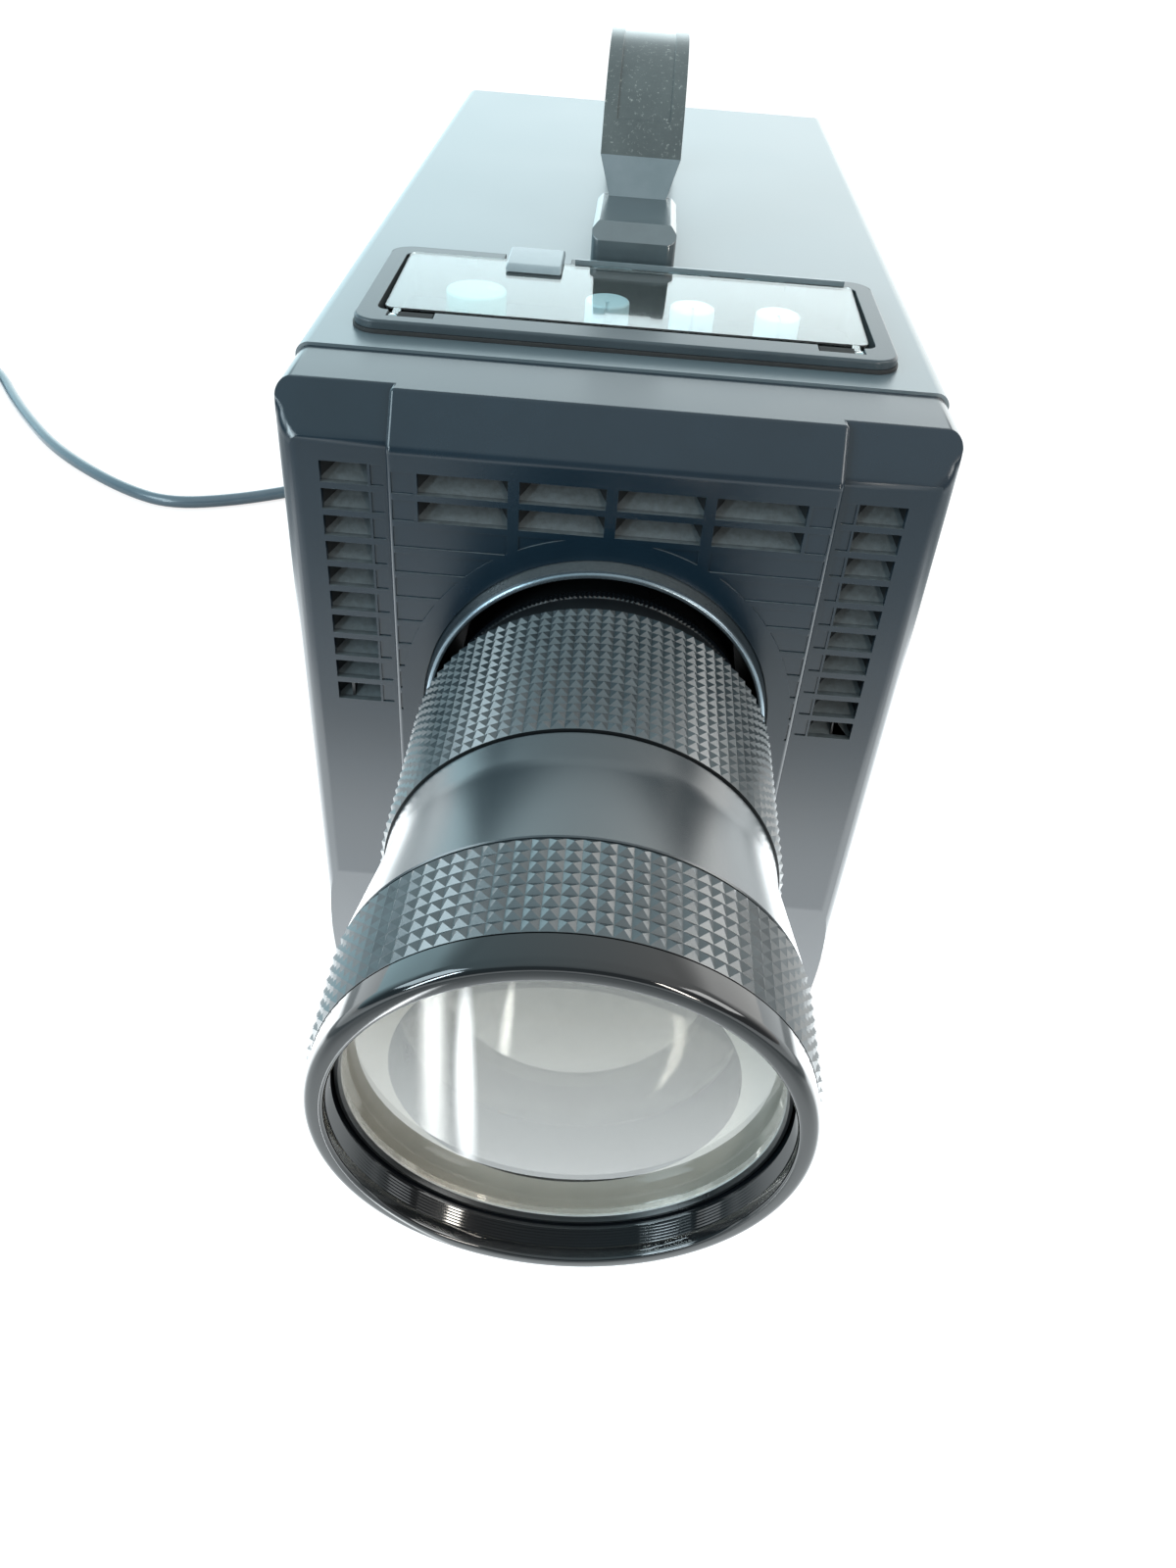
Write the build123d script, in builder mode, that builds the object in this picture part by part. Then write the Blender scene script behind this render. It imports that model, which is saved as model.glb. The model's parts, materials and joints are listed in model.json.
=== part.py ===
"""Video projector: a sheet-steel body behind a moulded bezel, with a large zoom lens at the front.

Millimetres. X points to the viewer's right, Y to the back and Z up. The origin is on the table,
under the middle of the projector's overall length. Depths are counted back from FACE, the plane
of the bezel's side columns, and drops are counted down from TOP, the top of the steel cover.
"""
import os
from math import acos, cos, degrees, pi, radians, sin, sqrt, tan

from build123d import *

os.makedirs("parts", exist_ok=True)

# Overall size
BODY_WIDTH = 220.0
TOP = 295.0
TOTAL_LENGTH = 668.0
LENS_REACH = 183.5
FACE = LENS_REACH - TOTAL_LENGTH / 2
FOOT_HEIGHT = 12.0
UNDERSIDE = TOP - FOOT_HEIGHT
SHEET = 1.2
SLIT = 0.3

# Depths behind FACE of the joints between the casing's pieces
SEAM = 38.0
COVER_REAR = 480.5
REAR_END = TOTAL_LENGTH - LENS_REACH
COVER_HEM = 272.0
COVER_BEND = 5.0

# Front bezel
BEZEL_DROP = 1.0
BEZEL_WIDTH = 218.6
BEZEL_WALL = 2.5
BROW_DEPTH = 11.3
BROW_DROP = 16.4
CHIN_DROP = 208.0
CHIN_RAKE = 8.5
CENTRE_PROUD = 4.0
CENTRE_HALF = 72.7
CORNER_PLAN = 8.0

# Louvres: ten rows, the top two with wide windows across the middle
ROWS = 10
WIDE_ROWS = 2
ROW_PITCH = 9.62
ROW_TOP = 23.6
WINDOW_HEIGHT = 7.4
COLUMN_INNER = 79.4
COLUMN_OUTER = 95.1
WIDE_BARS = (1.85, 29.85, 33.55, 62.8)
PANEL_OUTER = 71.2
PANEL_DEPTH = 0.6
SLAT_RUN = 9.0
SLAT_RISE = 8.0
SLAT_THICK = 1.2
RIB = 1.6
DIVIDERS = (-90.0, 88.6)

# Lens
LENS_DROP = 112.0
HOLE_R = 62.8
BORDER_R = 70.6
TUBE_R = 52.0
TUBE_BORE = 48.0
RUNNING = 0.06
FLUTES = 96
ZOOM_REAR = -31.2
ZOOM_FRONT = -93.7
FOCUS_REAR = -143.1
FOCUS_FRONT = -173.5

# Control panel on the cover
FRAME_HALF = 94.0
FRAME_FRONT = 51.0
FRAME_REAR = 137.0
FRAME_HEIGHT = 4.5
FRAME_CORNER = 9.0
GASKET = 1.4
WELL_HALF = 87.0
WELL_FRONT = 62.5
WELL_REAR = 128.5
WELL_DROP = 13.0
WELL_WALL = 1.6
CAP_TOP = 1.5
CAP_FOOT = -11.3
KNOB_DEPTH = 97.0
KNOB_X = (-7.8, 23.7, 55.4)
KNOB_R = 8.2
SHAFT_R = 3.0
BUTTON_X = -56.4
BUTTON_R = 11.2
STEM_R = 4.0
HINGE_DEPTH = 60.0
HINGE_RISE = 3.2
PIN_R = 0.9
LUG_X = (79.4, 81.8)
LID_HALF = 85.8
LID_FRONT = 68.0
LID_REAR = 127.9
LID_BOTTOM = 1.4
LID_THICK = 1.7
LID_TILT = 1.8
TAB_X = (-47.5, -26.3)

# Carrying handle
HANDLE_DEPTH = 250.0
HANDLE_HALF = 16.7
NECK_HALF = 12.0
BOW_R = 64.0
BOW_SWEEP = 65.0
BOW_CREST = 68.0
BOW_THICK = 7.0
FOOT_TOP = 17.0
FOOT_FAR = 110.0
FOOT_NEAR = 61.0

# Mains lead
CORD_R = 4.5
CORD_Z = CORD_R + 0.1
GLAND_X = -75.0
GLAND_Z = 48.0
GLAND_LENGTH = 34.0

LENS_Z = TOP - LENS_DROP
LENS_AXIS = Axis((0, 0, LENS_Z), (0, 1, 0))
LENS_PLANE = Plane(origin=(0, FACE, LENS_Z), x_dir=(0, 1, 0), z_dir=(1, 0, 0))
SIDE_PLANE = Plane(origin=(0, FACE, TOP), x_dir=(0, 1, 0), z_dir=(1, 0, 0))
HINGE_AXIS = Axis((0, FACE + HINGE_DEPTH, TOP + HINGE_RISE - 0.4), (1, 0, 0))


def upright(depth):
    """Plane facing the viewer at a depth, with its origin level with the cover's top."""
    return Plane(origin=(0, FACE + depth, TOP), x_dir=(1, 0, 0), z_dir=(0, -1, 0))


def level(rise):
    """Horizontal plane at a rise over the cover's top, with its origin over the column face."""
    return Plane(origin=(0, FACE, TOP + rise), x_dir=(1, 0, 0), z_dir=(0, 0, 1))


def outline(plane, *points):
    """Closed straight-sided face on a plane."""
    with BuildSketch(plane) as sketch:
        with BuildLine():
            Polyline(*points, close=True)
        make_face()
    return sketch.sketch


def box(x, depth, rise):
    """Box between pairs of X, depth and rise over the cover's top, added to the open part."""
    with BuildSketch(level(rise[0])) as foot:
        with Locations(((x[0] + x[1]) / 2, (depth[0] + depth[1]) / 2)):
            Rectangle(x[1] - x[0], depth[1] - depth[0])
    return foot.sketch, rise[1] - rise[0]


def corner_at(sketch, across, up):
    """The vertex of a sketch nearest a point in the sketch's own coordinates."""
    return sketch.vertices().sort_by_distance((across, up))[0]


def turned(*points):
    """Half section of a turned lens part, as (depth, radius) points."""
    return outline(LENS_PLANE, *points)


def both_sides(low, high):
    """The X span low to high and its mirror image."""
    return ((low, high), (-high, -low))


# Front bezel: a side profile with a sloping brow and a raked chin, rounded in plan and in front
# view, with a prouder middle that carries the lens
def bezel_side(face, inset):
    """Side view of the bezel with its front at `face`, drawn `inset` inside the outer skin."""
    rear = SEAM + 2 * inset
    rake = (UNDERSIDE - CHIN_DROP) * tan(radians(CHIN_RAKE))
    with BuildSketch(SIDE_PLANE) as side:
        with BuildLine():
            Polyline(
                (rear, -BEZEL_DROP),
                (face + BROW_DEPTH, -BEZEL_DROP),
                (face, -BROW_DROP),
                (face, -CHIN_DROP),
                (face + rake, -UNDERSIDE),
                (rear, -UNDERSIDE),
                close=True,
            )
        make_face()
        if inset:
            offset(amount=-inset, kind=Kind.INTERSECTION)
        else:
            fillet(corner_at(side, face + BROW_DEPTH, -BEZEL_DROP), 1.5)
            fillet(corner_at(side, face, -BROW_DROP), 6)
            fillet(corner_at(side, face, -CHIN_DROP), 12)
    return side.sketch


def bezel_blank(inset):
    """The bezel's side form, or the form `inset` inside it that hollows it out."""
    with BuildPart() as blank:
        extrude(bezel_side(0, inset), amount=BEZEL_WIDTH / 2 - inset, both=True)
        with BuildSketch(level(0)) as plan:
            with Locations((0, SEAM)):
                RectangleRounded(BEZEL_WIDTH - 2 * inset, 2 * (SEAM - inset), CORNER_PLAN - inset)
        extrude(plan.sketch, amount=-TOP, mode=Mode.INTERSECT)
        with BuildSketch(upright(0)) as front:
            with Locations((0, -(BEZEL_DROP + UNDERSIDE) / 2)):
                height = UNDERSIDE - BEZEL_DROP - 2 * inset
                RectangleRounded(BEZEL_WIDTH - 2 * inset, height, COVER_BEND - inset / 2)
        extrude(front.sketch, amount=-2 * SEAM, mode=Mode.INTERSECT)
    return blank.part


with BuildPart() as bezel_centre:
    extrude(bezel_side(-CENTRE_PROUD, 0), amount=CENTRE_HALF, both=True)
    on_flank = bezel_centre.edges().filter_by(lambda e: abs(abs(e.center().X) - CENTRE_HALF) < 0.01)
    fillet(on_flank.filter_by(lambda e: e.center().Y < FACE + BROW_DEPTH), 1.8)

with BuildPart() as bezel_hollow:
    add(bezel_blank(BEZEL_WALL))
    extrude(bezel_side(-CENTRE_PROUD, BEZEL_WALL), amount=CENTRE_HALF - BEZEL_WALL, both=True)


def window_rows():
    """Face-on sketch of all the louvre windows."""
    with BuildSketch(upright(-CENTRE_PROUD - 1)) as windows:
        for row in range(ROWS):
            middle = -(ROW_TOP + row * ROW_PITCH + WINDOW_HEIGHT / 2)
            spans = both_sides(COLUMN_INNER, COLUMN_OUTER)
            if row < WIDE_ROWS:
                spans += both_sides(*WIDE_BARS[:2]) + both_sides(*WIDE_BARS[2:])
            for low, high in spans:
                with Locations(((low + high) / 2, middle)):
                    Rectangle(high - low, WINDOW_HEIGHT)
    return windows.sketch


def blank_panels():
    """Face-on sketch of the shallow panels between the bars, cut by the border round the lens."""
    with BuildSketch(upright(-CENTRE_PROUD)) as panels:
        for row in range(ROWS):
            middle = -(ROW_TOP + row * ROW_PITCH + WINDOW_HEIGHT / 2)
            if row < WIDE_ROWS:
                spans = both_sides(WIDE_BARS[3] + 1.2, PANEL_OUTER)
            elif row == WIDE_ROWS:
                spans = both_sides(*WIDE_BARS[:2]) + both_sides(WIDE_BARS[2], PANEL_OUTER)
            else:
                spans = both_sides(WIDE_BARS[0], PANEL_OUTER)
            for low, high in spans:
                with Locations(((low + high) / 2, middle)):
                    Rectangle(high - low, WINDOW_HEIGHT)
        with Locations((0, -LENS_DROP)):
            Circle(BORDER_R, mode=Mode.SUBTRACT)
    return panels.sketch


with BuildPart() as front_bezel:
    add(bezel_blank(0))
    add(bezel_centre.part)
    add(bezel_hollow.part, mode=Mode.SUBTRACT)
    extrude(window_rows(), amount=-(CENTRE_PROUD + BEZEL_WALL + 2), mode=Mode.SUBTRACT)
    extrude(blank_panels(), amount=-PANEL_DEPTH, mode=Mode.SUBTRACT)
    with BuildSketch(upright(0)) as edge_panels:
        for row in range(ROWS):
            for low, high in both_sides(CENTRE_HALF + 1.8, COLUMN_INNER - 0.8):
                with Locations(((low + high) / 2, -(ROW_TOP + row * ROW_PITCH + WINDOW_HEIGHT / 2))):
                    Rectangle(high - low, WINDOW_HEIGHT)
    extrude(edge_panels.sketch, amount=-PANEL_DEPTH, mode=Mode.SUBTRACT)
    with BuildSketch(upright(-CENTRE_PROUD)) as lens_hole:
        with Locations((0, -LENS_DROP)):
            Circle(HOLE_R)
    extrude(lens_hole.sketch, amount=-2 * BEZEL_WALL, mode=Mode.SUBTRACT)
front_bezel.part.label = "front_bezel"
export_step(front_bezel.part, "parts/front_bezel.step")


# Louvre combs: inclined slats between end ribs, one comb behind each group of windows
def slat_profile(start, row):
    """Side view of the slat that rises from the sill of a row."""
    sill = -(ROW_TOP + row * ROW_PITCH + WINDOW_HEIGHT)
    return outline(
        SIDE_PLANE,
        (start, sill),
        (start + SLAT_RUN, sill + SLAT_RISE),
        (start + SLAT_RUN, sill + SLAT_RISE - 1.5 * SLAT_THICK),
        (start, sill - 1.5 * SLAT_THICK),
    )


def comb(start, rows, span, ribs):
    """Slats over an X span for the given number of rows, with ribs at the given X places."""
    foot = -(ROW_TOP + rows * ROW_PITCH)
    with BuildPart() as slats:
        for row in range(rows):
            extrude(slat_profile(start, row), amount=(span[1] - span[0]) / 2, both=True)
        for place in ribs:
            rib_x = place - (span[0] + span[1]) / 2
            with BuildSketch(SIDE_PLANE.offset(rib_x)) as rib:
                with Locations((start + SLAT_RUN / 2, (foot - ROW_TOP + SLAT_THICK) / 2)):
                    Rectangle(SLAT_RUN, -foot - ROW_TOP + SLAT_THICK)
            extrude(rib.sketch, amount=RIB / 2, both=True)
    return slats.part.moved(Location(((span[0] + span[1]) / 2, 0, 0)))


last_window = -(ROW_TOP + (ROWS - 1) * ROW_PITCH)
with BuildPart() as louvre_columns:
    for low, high in both_sides(COLUMN_INNER - 2, COLUMN_OUTER + 2):
        add(comb(BEZEL_WALL, ROWS, (low, high), (low + RIB / 2, high - RIB / 2)))
    for divider in DIVIDERS:
        extrude(*box((divider - 0.6, divider + 0.6), (BEZEL_WALL, BEZEL_WALL + SLAT_RUN),
                     (last_window - WINDOW_HEIGHT - 1, last_window)))
louvre_columns.part.label = "louvre_columns"
export_step(louvre_columns.part, "parts/louvre_columns.step")

with BuildPart() as louvre_wide:
    wide = WIDE_BARS[3] + 2
    bar = (WIDE_BARS[1] + WIDE_BARS[2]) / 2
    add(comb(BEZEL_WALL - CENTRE_PROUD, WIDE_ROWS, (-wide, wide),
             (-wide + RIB / 2, -bar, 0, bar, wide - RIB / 2)))
louvre_wide.part.label = "louvre_wide"
export_step(louvre_wide.part, "parts/louvre_wide.step")

# Lens collar: a coned ring that stands out of the bezel's hole, with its flange behind the skin
with BuildPart() as lens_collar:
    skin_back = BEZEL_WALL - CENTRE_PROUD
    with BuildSketch(LENS_PLANE) as collar_half:
        with BuildLine():
            Polyline(
                (skin_back + 2.5, 58.6),
                (skin_back + 2.5, 68.0),
                (skin_back, 68.0),
                (skin_back, HOLE_R - SLIT),
                (-CENTRE_PROUD, HOLE_R - SLIT),
                (-10.3, 60.9),
                (-10.3, 59.2),
                close=True,
            )
        make_face()
        fillet(corner_at(collar_half, -10.3, 60.9), 0.7)
        fillet(corner_at(collar_half, -10.3, 59.2), 0.7)
    revolve(collar_half.sketch, axis=LENS_AXIS)
lens_collar.part.label = "lens_collar"
export_step(lens_collar.part, "parts/lens_collar.step")

# Fixed lens tube with its mounting flange, and the flared sleeve between the two grips
with BuildPart() as lens_tube:
    revolve(turned((-156, TUBE_BORE), (-156, TUBE_R), (33, TUBE_R), (33, 72), (SEAM, 72), (SEAM, TUBE_R),
                   (60, TUBE_R), (60, TUBE_BORE)), axis=LENS_AXIS)
    with BuildSketch(upright(33)) as flange_holes:
        with Locations((0, -LENS_DROP)):
            with PolarLocations(66, 4, start_angle=45):
                Circle(2.2)
    extrude(flange_holes.sketch, amount=-5, mode=Mode.SUBTRACT)
lens_tube.part.label = "lens_tube"
export_step(lens_tube.part, "parts/lens_tube.step")

with BuildPart() as barrel_sleeve:
    rear = ZOOM_FRONT - 0.5
    front = FOCUS_REAR + 0.4
    revolve(turned((rear, TUBE_R), (rear, 60), (-106, 60), (front, 65.4), (front, 63), (-106, 57.5),
                   (-99, 57.5), (-99, 54.5), (front, 54.5), (front, TUBE_R)), axis=LENS_AXIS)
barrel_sleeve.part.label = "barrel_sleeve"
export_step(barrel_sleeve.part, "parts/barrel_sleeve.step")


def fluted_ring(inner, root, tip, rear, front):
    """Rubber grip with axial V flutes, from its rear to its front depth."""
    step = 2 * pi / FLUTES
    with BuildPart() as ring:
        with BuildSketch(Plane(origin=(0, FACE + rear, LENS_Z), x_dir=(1, 0, 0), z_dir=(0, -1, 0))) as section:
            with BuildLine():
                crown = []
                for flute in range(FLUTES):
                    crown.append((root * sin(flute * step), root * cos(flute * step)))
                    middle = (flute + 0.5) * step
                    crown.append((tip * sin(middle), tip * cos(middle)))
                Polyline(*crown, close=True)
            make_face()
            Circle(inner, mode=Mode.SUBTRACT)
        extrude(section.sketch, amount=rear - front)
    return ring.part


# Zoom ring: a core that turns on the lens tube, with its fine-toothed end inside the collar
with BuildPart() as zoom_core:
    bore = TUBE_R + RUNNING
    revolve(turned((-10, bore), (-10, 54.9), (ZOOM_REAR, 54.9), (ZOOM_REAR, 59), (ZOOM_FRONT, 59),
                   (ZOOM_FRONT, bore)), axis=LENS_AXIS)
zoom_core.part.label = "zoom_core"
export_step(zoom_core.part, "parts/zoom_core.step")

with BuildPart() as zoom_grip:
    add(fluted_ring(59, 61, 62, ZOOM_REAR, ZOOM_FRONT))
zoom_grip.part.label = "zoom_grip"
export_step(zoom_grip.part, "parts/zoom_grip.step")

# Focus ring: a core that turns on the front of the lens tube and ends in the rounded lip
with BuildPart() as focus_core:
    with BuildSketch(LENS_PLANE) as focus_half:
        with BuildLine():
            Polyline(
                (FOCUS_REAR, TUBE_R + RUNNING),
                (FOCUS_REAR, 64.2),
                (FOCUS_FRONT, 64.2),
                (FOCUS_FRONT, 64.8),
                (-LENS_REACH, 64.8),
                (-LENS_REACH, 60.2),
                (-181.6, 58.9),
                (-180, 58.9),
                (-180, 59.6),
                (-158.6, 59.6),
                (-158.6, 57.5),
                (-155.8, 57.5),
                (-155.8, TUBE_R + RUNNING),
                close=True,
            )
        make_face()
        fillet(corner_at(focus_half, -LENS_REACH, 64.8), 2.8)
        fillet(corner_at(focus_half, -LENS_REACH, 60.2), 1.0)
    revolve(focus_half.sketch, axis=LENS_AXIS)
focus_core.part.label = "focus_core"
export_step(focus_core.part, "parts/focus_core.step")

with BuildPart() as focus_grip:
    add(fluted_ring(64.2, 65, 66, FOCUS_REAR, FOCUS_FRONT))
focus_grip.part.label = "focus_grip"
export_step(focus_grip.part, "parts/focus_grip.step")

# Front cell: it slides in the tube as the focus ring turns, and carries the two front glasses
with BuildPart() as front_cell:
    revolve(turned((-128, 45.5), (-128, TUBE_BORE - RUNNING), (-161, TUBE_BORE - RUNNING), (-161, 58.8),
                   (-172.4, 58.8), (-172.4, 57.6), (-171, 57.3), (-163.5, 57.3), (-163.5, 51.8),
                   (-161.5, 45.5)), axis=LENS_AXIS)
front_cell.part.label = "front_cell"
export_step(front_cell.part, "parts/front_cell.step")


def element(edge_r, rear, rear_bulge, front, front_bulge):
    """Lens element: its rim, and how far each face bulges past the edge."""
    with BuildPart() as glass:
        with BuildSketch(LENS_PLANE) as half:
            with BuildLine():
                axis_line = Line((rear + rear_bulge, 0), (front - front_bulge, 0))
                front_mid = cap_point(edge_r, front, -front_bulge)
                rear_mid = cap_point(edge_r, rear, rear_bulge)
                front_face = ThreePointArc(axis_line @ 1, front_mid, (front, edge_r))
                rim = Line(front_face @ 1, (rear, edge_r))
                ThreePointArc(rim @ 1, rear_mid, axis_line @ 0)
            make_face()
        revolve(half.sketch, axis=LENS_AXIS)
    return glass.part


def cap_point(edge_r, edge, bulge):
    """Point at half the radius on a spherical face of a given bulge."""
    sphere = (edge_r ** 2 + bulge ** 2) / (2 * abs(bulge))
    sag = sphere - sqrt(sphere ** 2 - (edge_r / 2) ** 2)
    height = abs(bulge) - sag
    return (edge + (height if bulge > 0 else -height), edge_r / 2)


for name, shape in (
    ("front_glass", (57.25, -163.56, -2.4, -170.6, 4.2)),
    ("second_glass", (45.45, -138.0, 1.5, -143.6, 8.0)),
    ("zoom_glass", (44.0, -72.0, 5.0, -82.0, 5.0)),
    ("rear_glass", (TUBE_BORE, 44.0, 5.0, 32.0, 6.0)),
):
    with BuildPart() as lens_glass:
        add(element(*shape))
    lens_glass.part.label = name
    export_step(lens_glass.part, f"parts/{name}.step")

# Zoom cell: it slides in the tube as the zoom ring turns
with BuildPart() as zoom_cell:
    revolve(turned((-60, 44), (-60, TUBE_BORE - RUNNING), (-96, TUBE_BORE - RUNNING), (-96, 44)),
            axis=LENS_AXIS)
zoom_cell.part.label = "zoom_cell"
export_step(zoom_cell.part, "parts/zoom_cell.step")

# Steel cover: one sheet bent over the top and down both sides
with BuildPart() as top_cover:
    with BuildSketch(upright(SEAM + SLIT)) as section:
        with Locations((0, -COVER_HEM)):
            RectangleRounded(BODY_WIDTH, 2 * COVER_HEM, COVER_BEND)
            RectangleRounded(BODY_WIDTH - 2 * SHEET, 2 * (COVER_HEM - SHEET), COVER_BEND - SHEET,
                             mode=Mode.SUBTRACT)
        with Locations((0, -1.5 * COVER_HEM)):
            Rectangle(2 * BODY_WIDTH, COVER_HEM, mode=Mode.SUBTRACT)
    extrude(section.sketch, amount=-(COVER_REAR - SEAM - SLIT))
    with BuildSketch(level(-2 * SHEET)) as panel_hole:
        with Locations((0, (WELL_FRONT + WELL_REAR) / 2)):
            Rectangle(2 * WELL_HALF + 3.6, WELL_REAR - WELL_FRONT + 3.6)
        with Locations((0, HANDLE_DEPTH)):
            with GridLocations(20, 2 * 86, 2, 2):
                Circle(2.2)
    extrude(panel_hole.sketch, amount=3 * SHEET, mode=Mode.SUBTRACT)
    with BuildSketch(SIDE_PLANE.offset(-BODY_WIDTH)) as side_slots:
        with Locations((400, -95), (400, -165)):
            with GridLocations(8, 0, 12, 1):
                SlotOverall(40, 3.2, rotation=90)
        with Locations((0, -262)):
            with Locations((70, 0), (260, 0), (450, 0)):
                Circle(1.7)
    extrude(side_slots.sketch, amount=2 * BODY_WIDTH, mode=Mode.SUBTRACT)
top_cover.part.label = "top_cover"
export_step(top_cover.part, "parts/top_cover.step")

# Chassis: a folded steel tray under everything, with flanges inside the cover's sides
with BuildPart() as base_chassis:
    tray_half = BODY_WIDTH / 2 - SHEET
    extrude(*box((-tray_half, tray_half), (SEAM, COVER_REAR), (-UNDERSIDE, -232)))
    extrude(*box((-tray_half + 1.5, tray_half - 1.5), (SEAM + 1.5, COVER_REAR - 1.5),
                 (-UNDERSIDE + 1.5, -200)), mode=Mode.SUBTRACT)
    with BuildSketch(SIDE_PLANE.offset(-BODY_WIDTH)) as screw_holes:
        with Locations((70, -262), (260, -262), (450, -262)):
            Circle(1.5)
    extrude(screw_holes.sketch, amount=2 * BODY_WIDTH, mode=Mode.SUBTRACT)
    with BuildSketch(level(-UNDERSIDE)) as foot_holes:
        with Locations((0, 240)):
            with GridLocations(180, 430 - 50, 2, 2):
                Circle(2)
    extrude(foot_holes.sketch, amount=2, mode=Mode.SUBTRACT)
    with BuildSketch(upright(COVER_REAR + 5)) as rear_window:
        with Locations((0, -250)):
            Rectangle(170, 30)
    extrude(rear_window.sketch, amount=10, mode=Mode.SUBTRACT)
base_chassis.part.label = "base_chassis"
export_step(base_chassis.part, "parts/base_chassis.step")

# Front bulkhead: a steel plate behind the bezel that carries the lens flange
with BuildPart() as front_bulkhead:
    with BuildSketch(upright(SEAM)) as plate:
        with Locations((0, -(2 + 231.8) / 2)):
            Rectangle(2 * tray_half - 8, 231.8 - 2)
        with Locations((0, -LENS_DROP)):
            Circle(58, mode=Mode.SUBTRACT)
            with PolarLocations(66, 4, start_angle=45):
                Circle(1.8, mode=Mode.SUBTRACT)
        with Locations((-87, -70), (87, -70)):
            Rectangle(16, 92, mode=Mode.SUBTRACT)
        with Locations((0, -30)):
            Rectangle(110, 18, mode=Mode.SUBTRACT)
    extrude(plate.sketch, amount=-1.5)
front_bulkhead.part.label = "front_bulkhead"
export_step(front_bulkhead.part, "parts/front_bulkhead.step")

with BuildPart() as flange_screws:
    for angle in (45, 135, 225, 315):
        place = (66 * cos(radians(angle)), 66 * sin(radians(angle)) - LENS_DROP)
        with BuildSketch(upright(33)) as head:
            with Locations(place):
                Circle(3.8)
        extrude(head.sketch, amount=2.4)
        with BuildSketch(upright(33)) as shank:
            with Locations(place):
                Circle(1.8)
        extrude(shank.sketch, amount=-(SEAM + 4 - 33))
flange_screws.part.label = "flange_screws"
export_step(flange_screws.part, "parts/flange_screws.step")

# Rear panel: a moulded plate with the fan grille, signal sockets and the lead's hole
FAN_X = 45.0
FAN_DROP = 105.0
JACK_X = (20.0, 38.0, 56.0)
JACK_DROP = 245.0
with BuildPart() as rear_panel:
    with BuildSketch(upright(COVER_REAR)) as rear_outline:
        with Locations((0, -(BEZEL_DROP + UNDERSIDE) / 2)):
            RectangleRounded(BEZEL_WIDTH, UNDERSIDE - BEZEL_DROP, COVER_BEND)
    extrude(rear_outline.sketch, amount=-(REAR_END - COVER_REAR))
    fillet(rear_panel.faces().sort_by(Axis.Y)[-1].edges(), 2)
    with BuildSketch(upright(COVER_REAR)) as grille:
        with Locations((FAN_X, -FAN_DROP)):
            with GridLocations(0, 7, 1, 12):
                Rectangle(90, 3.6)
            Circle(42, mode=Mode.INTERSECT)
        with Locations((FAN_X, -FAN_DROP)):
            Circle(12, mode=Mode.SUBTRACT)
            Rectangle(3, 90, mode=Mode.SUBTRACT)
        with Locations(*[(x, -JACK_DROP) for x in JACK_X]):
            Circle(4.2)
        with Locations((GLAND_X, GLAND_Z - TOP)):
            Circle(7)
    extrude(grille.sketch, amount=-10, mode=Mode.SUBTRACT)
rear_panel.part.label = "rear_panel"
export_step(rear_panel.part, "parts/rear_panel.step")

with BuildPart() as signal_sockets:
    with BuildSketch(upright(COVER_REAR - 1.5)) as socket_plate:
        with Locations((JACK_X[1], -JACK_DROP)):
            Rectangle(60, 20)
    extrude(socket_plate.sketch, amount=-1.5)
    with BuildSketch(upright(COVER_REAR - 1.5)) as shells:
        with Locations(*[(x, -JACK_DROP) for x in JACK_X]):
            Circle(4.15)
    extrude(shells.sketch, amount=-(REAR_END - COVER_REAR + 1.3))
    with BuildSketch(upright(REAR_END + 1)) as centres:
        with Locations(*[(x, -JACK_DROP) for x in JACK_X]):
            Circle(1.7)
    extrude(centres.sketch, amount=5, mode=Mode.SUBTRACT)
signal_sockets.part.label = "signal_sockets"
export_step(signal_sockets.part, "parts/signal_sockets.step")

# Rubber feet, held by a screw each
FOOT_PLACES = [(x, depth) for x in (-90, 90) for depth in (50, 430)]
with BuildPart() as rubber_feet:
    with BuildSketch(level(-UNDERSIDE)) as pads:
        with Locations(*FOOT_PLACES):
            Circle(11)
    extrude(pads.sketch, amount=-FOOT_HEIGHT, taper=6)
    with BuildSketch(level(-TOP)) as counterbores:
        with Locations(*FOOT_PLACES):
            Circle(5)
    extrude(counterbores.sketch, amount=7, mode=Mode.SUBTRACT)
    with BuildSketch(level(-TOP)) as bores:
        with Locations(*FOOT_PLACES):
            Circle(2)
    extrude(bores.sketch, amount=FOOT_HEIGHT, mode=Mode.SUBTRACT)
rubber_feet.part.label = "rubber_feet"
export_step(rubber_feet.part, "parts/rubber_feet.step")

with BuildPart() as foot_screws:
    with BuildSketch(level(-TOP + 4.4)) as heads:
        with Locations(*FOOT_PLACES):
            Circle(4)
    extrude(heads.sketch, amount=2.6)
    with BuildSketch(level(-TOP + 7)) as shanks:
        with Locations(*FOOT_PLACES):
            Circle(2)
    extrude(shanks.sketch, amount=9)
foot_screws.part.label = "foot_screws"
export_step(foot_screws.part, "parts/foot_screws.step")

with BuildPart() as case_screws:
    for sign in (-1, 1):
        for depth in (70, 260, 450):
            flank = SIDE_PLANE.offset(sign * BODY_WIDTH / 2)
            with BuildSketch(flank) as head:
                with Locations((depth, -262)):
                    Circle(3.6)
            extrude(head.sketch, amount=sign * 1.4)
            with BuildSketch(flank) as shank:
                with Locations((depth, -262)):
                    Circle(1.5)
            extrude(shank.sketch, amount=-sign * 5)
case_screws.part.label = "case_screws"
export_step(case_screws.part, "parts/case_screws.step")

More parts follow.
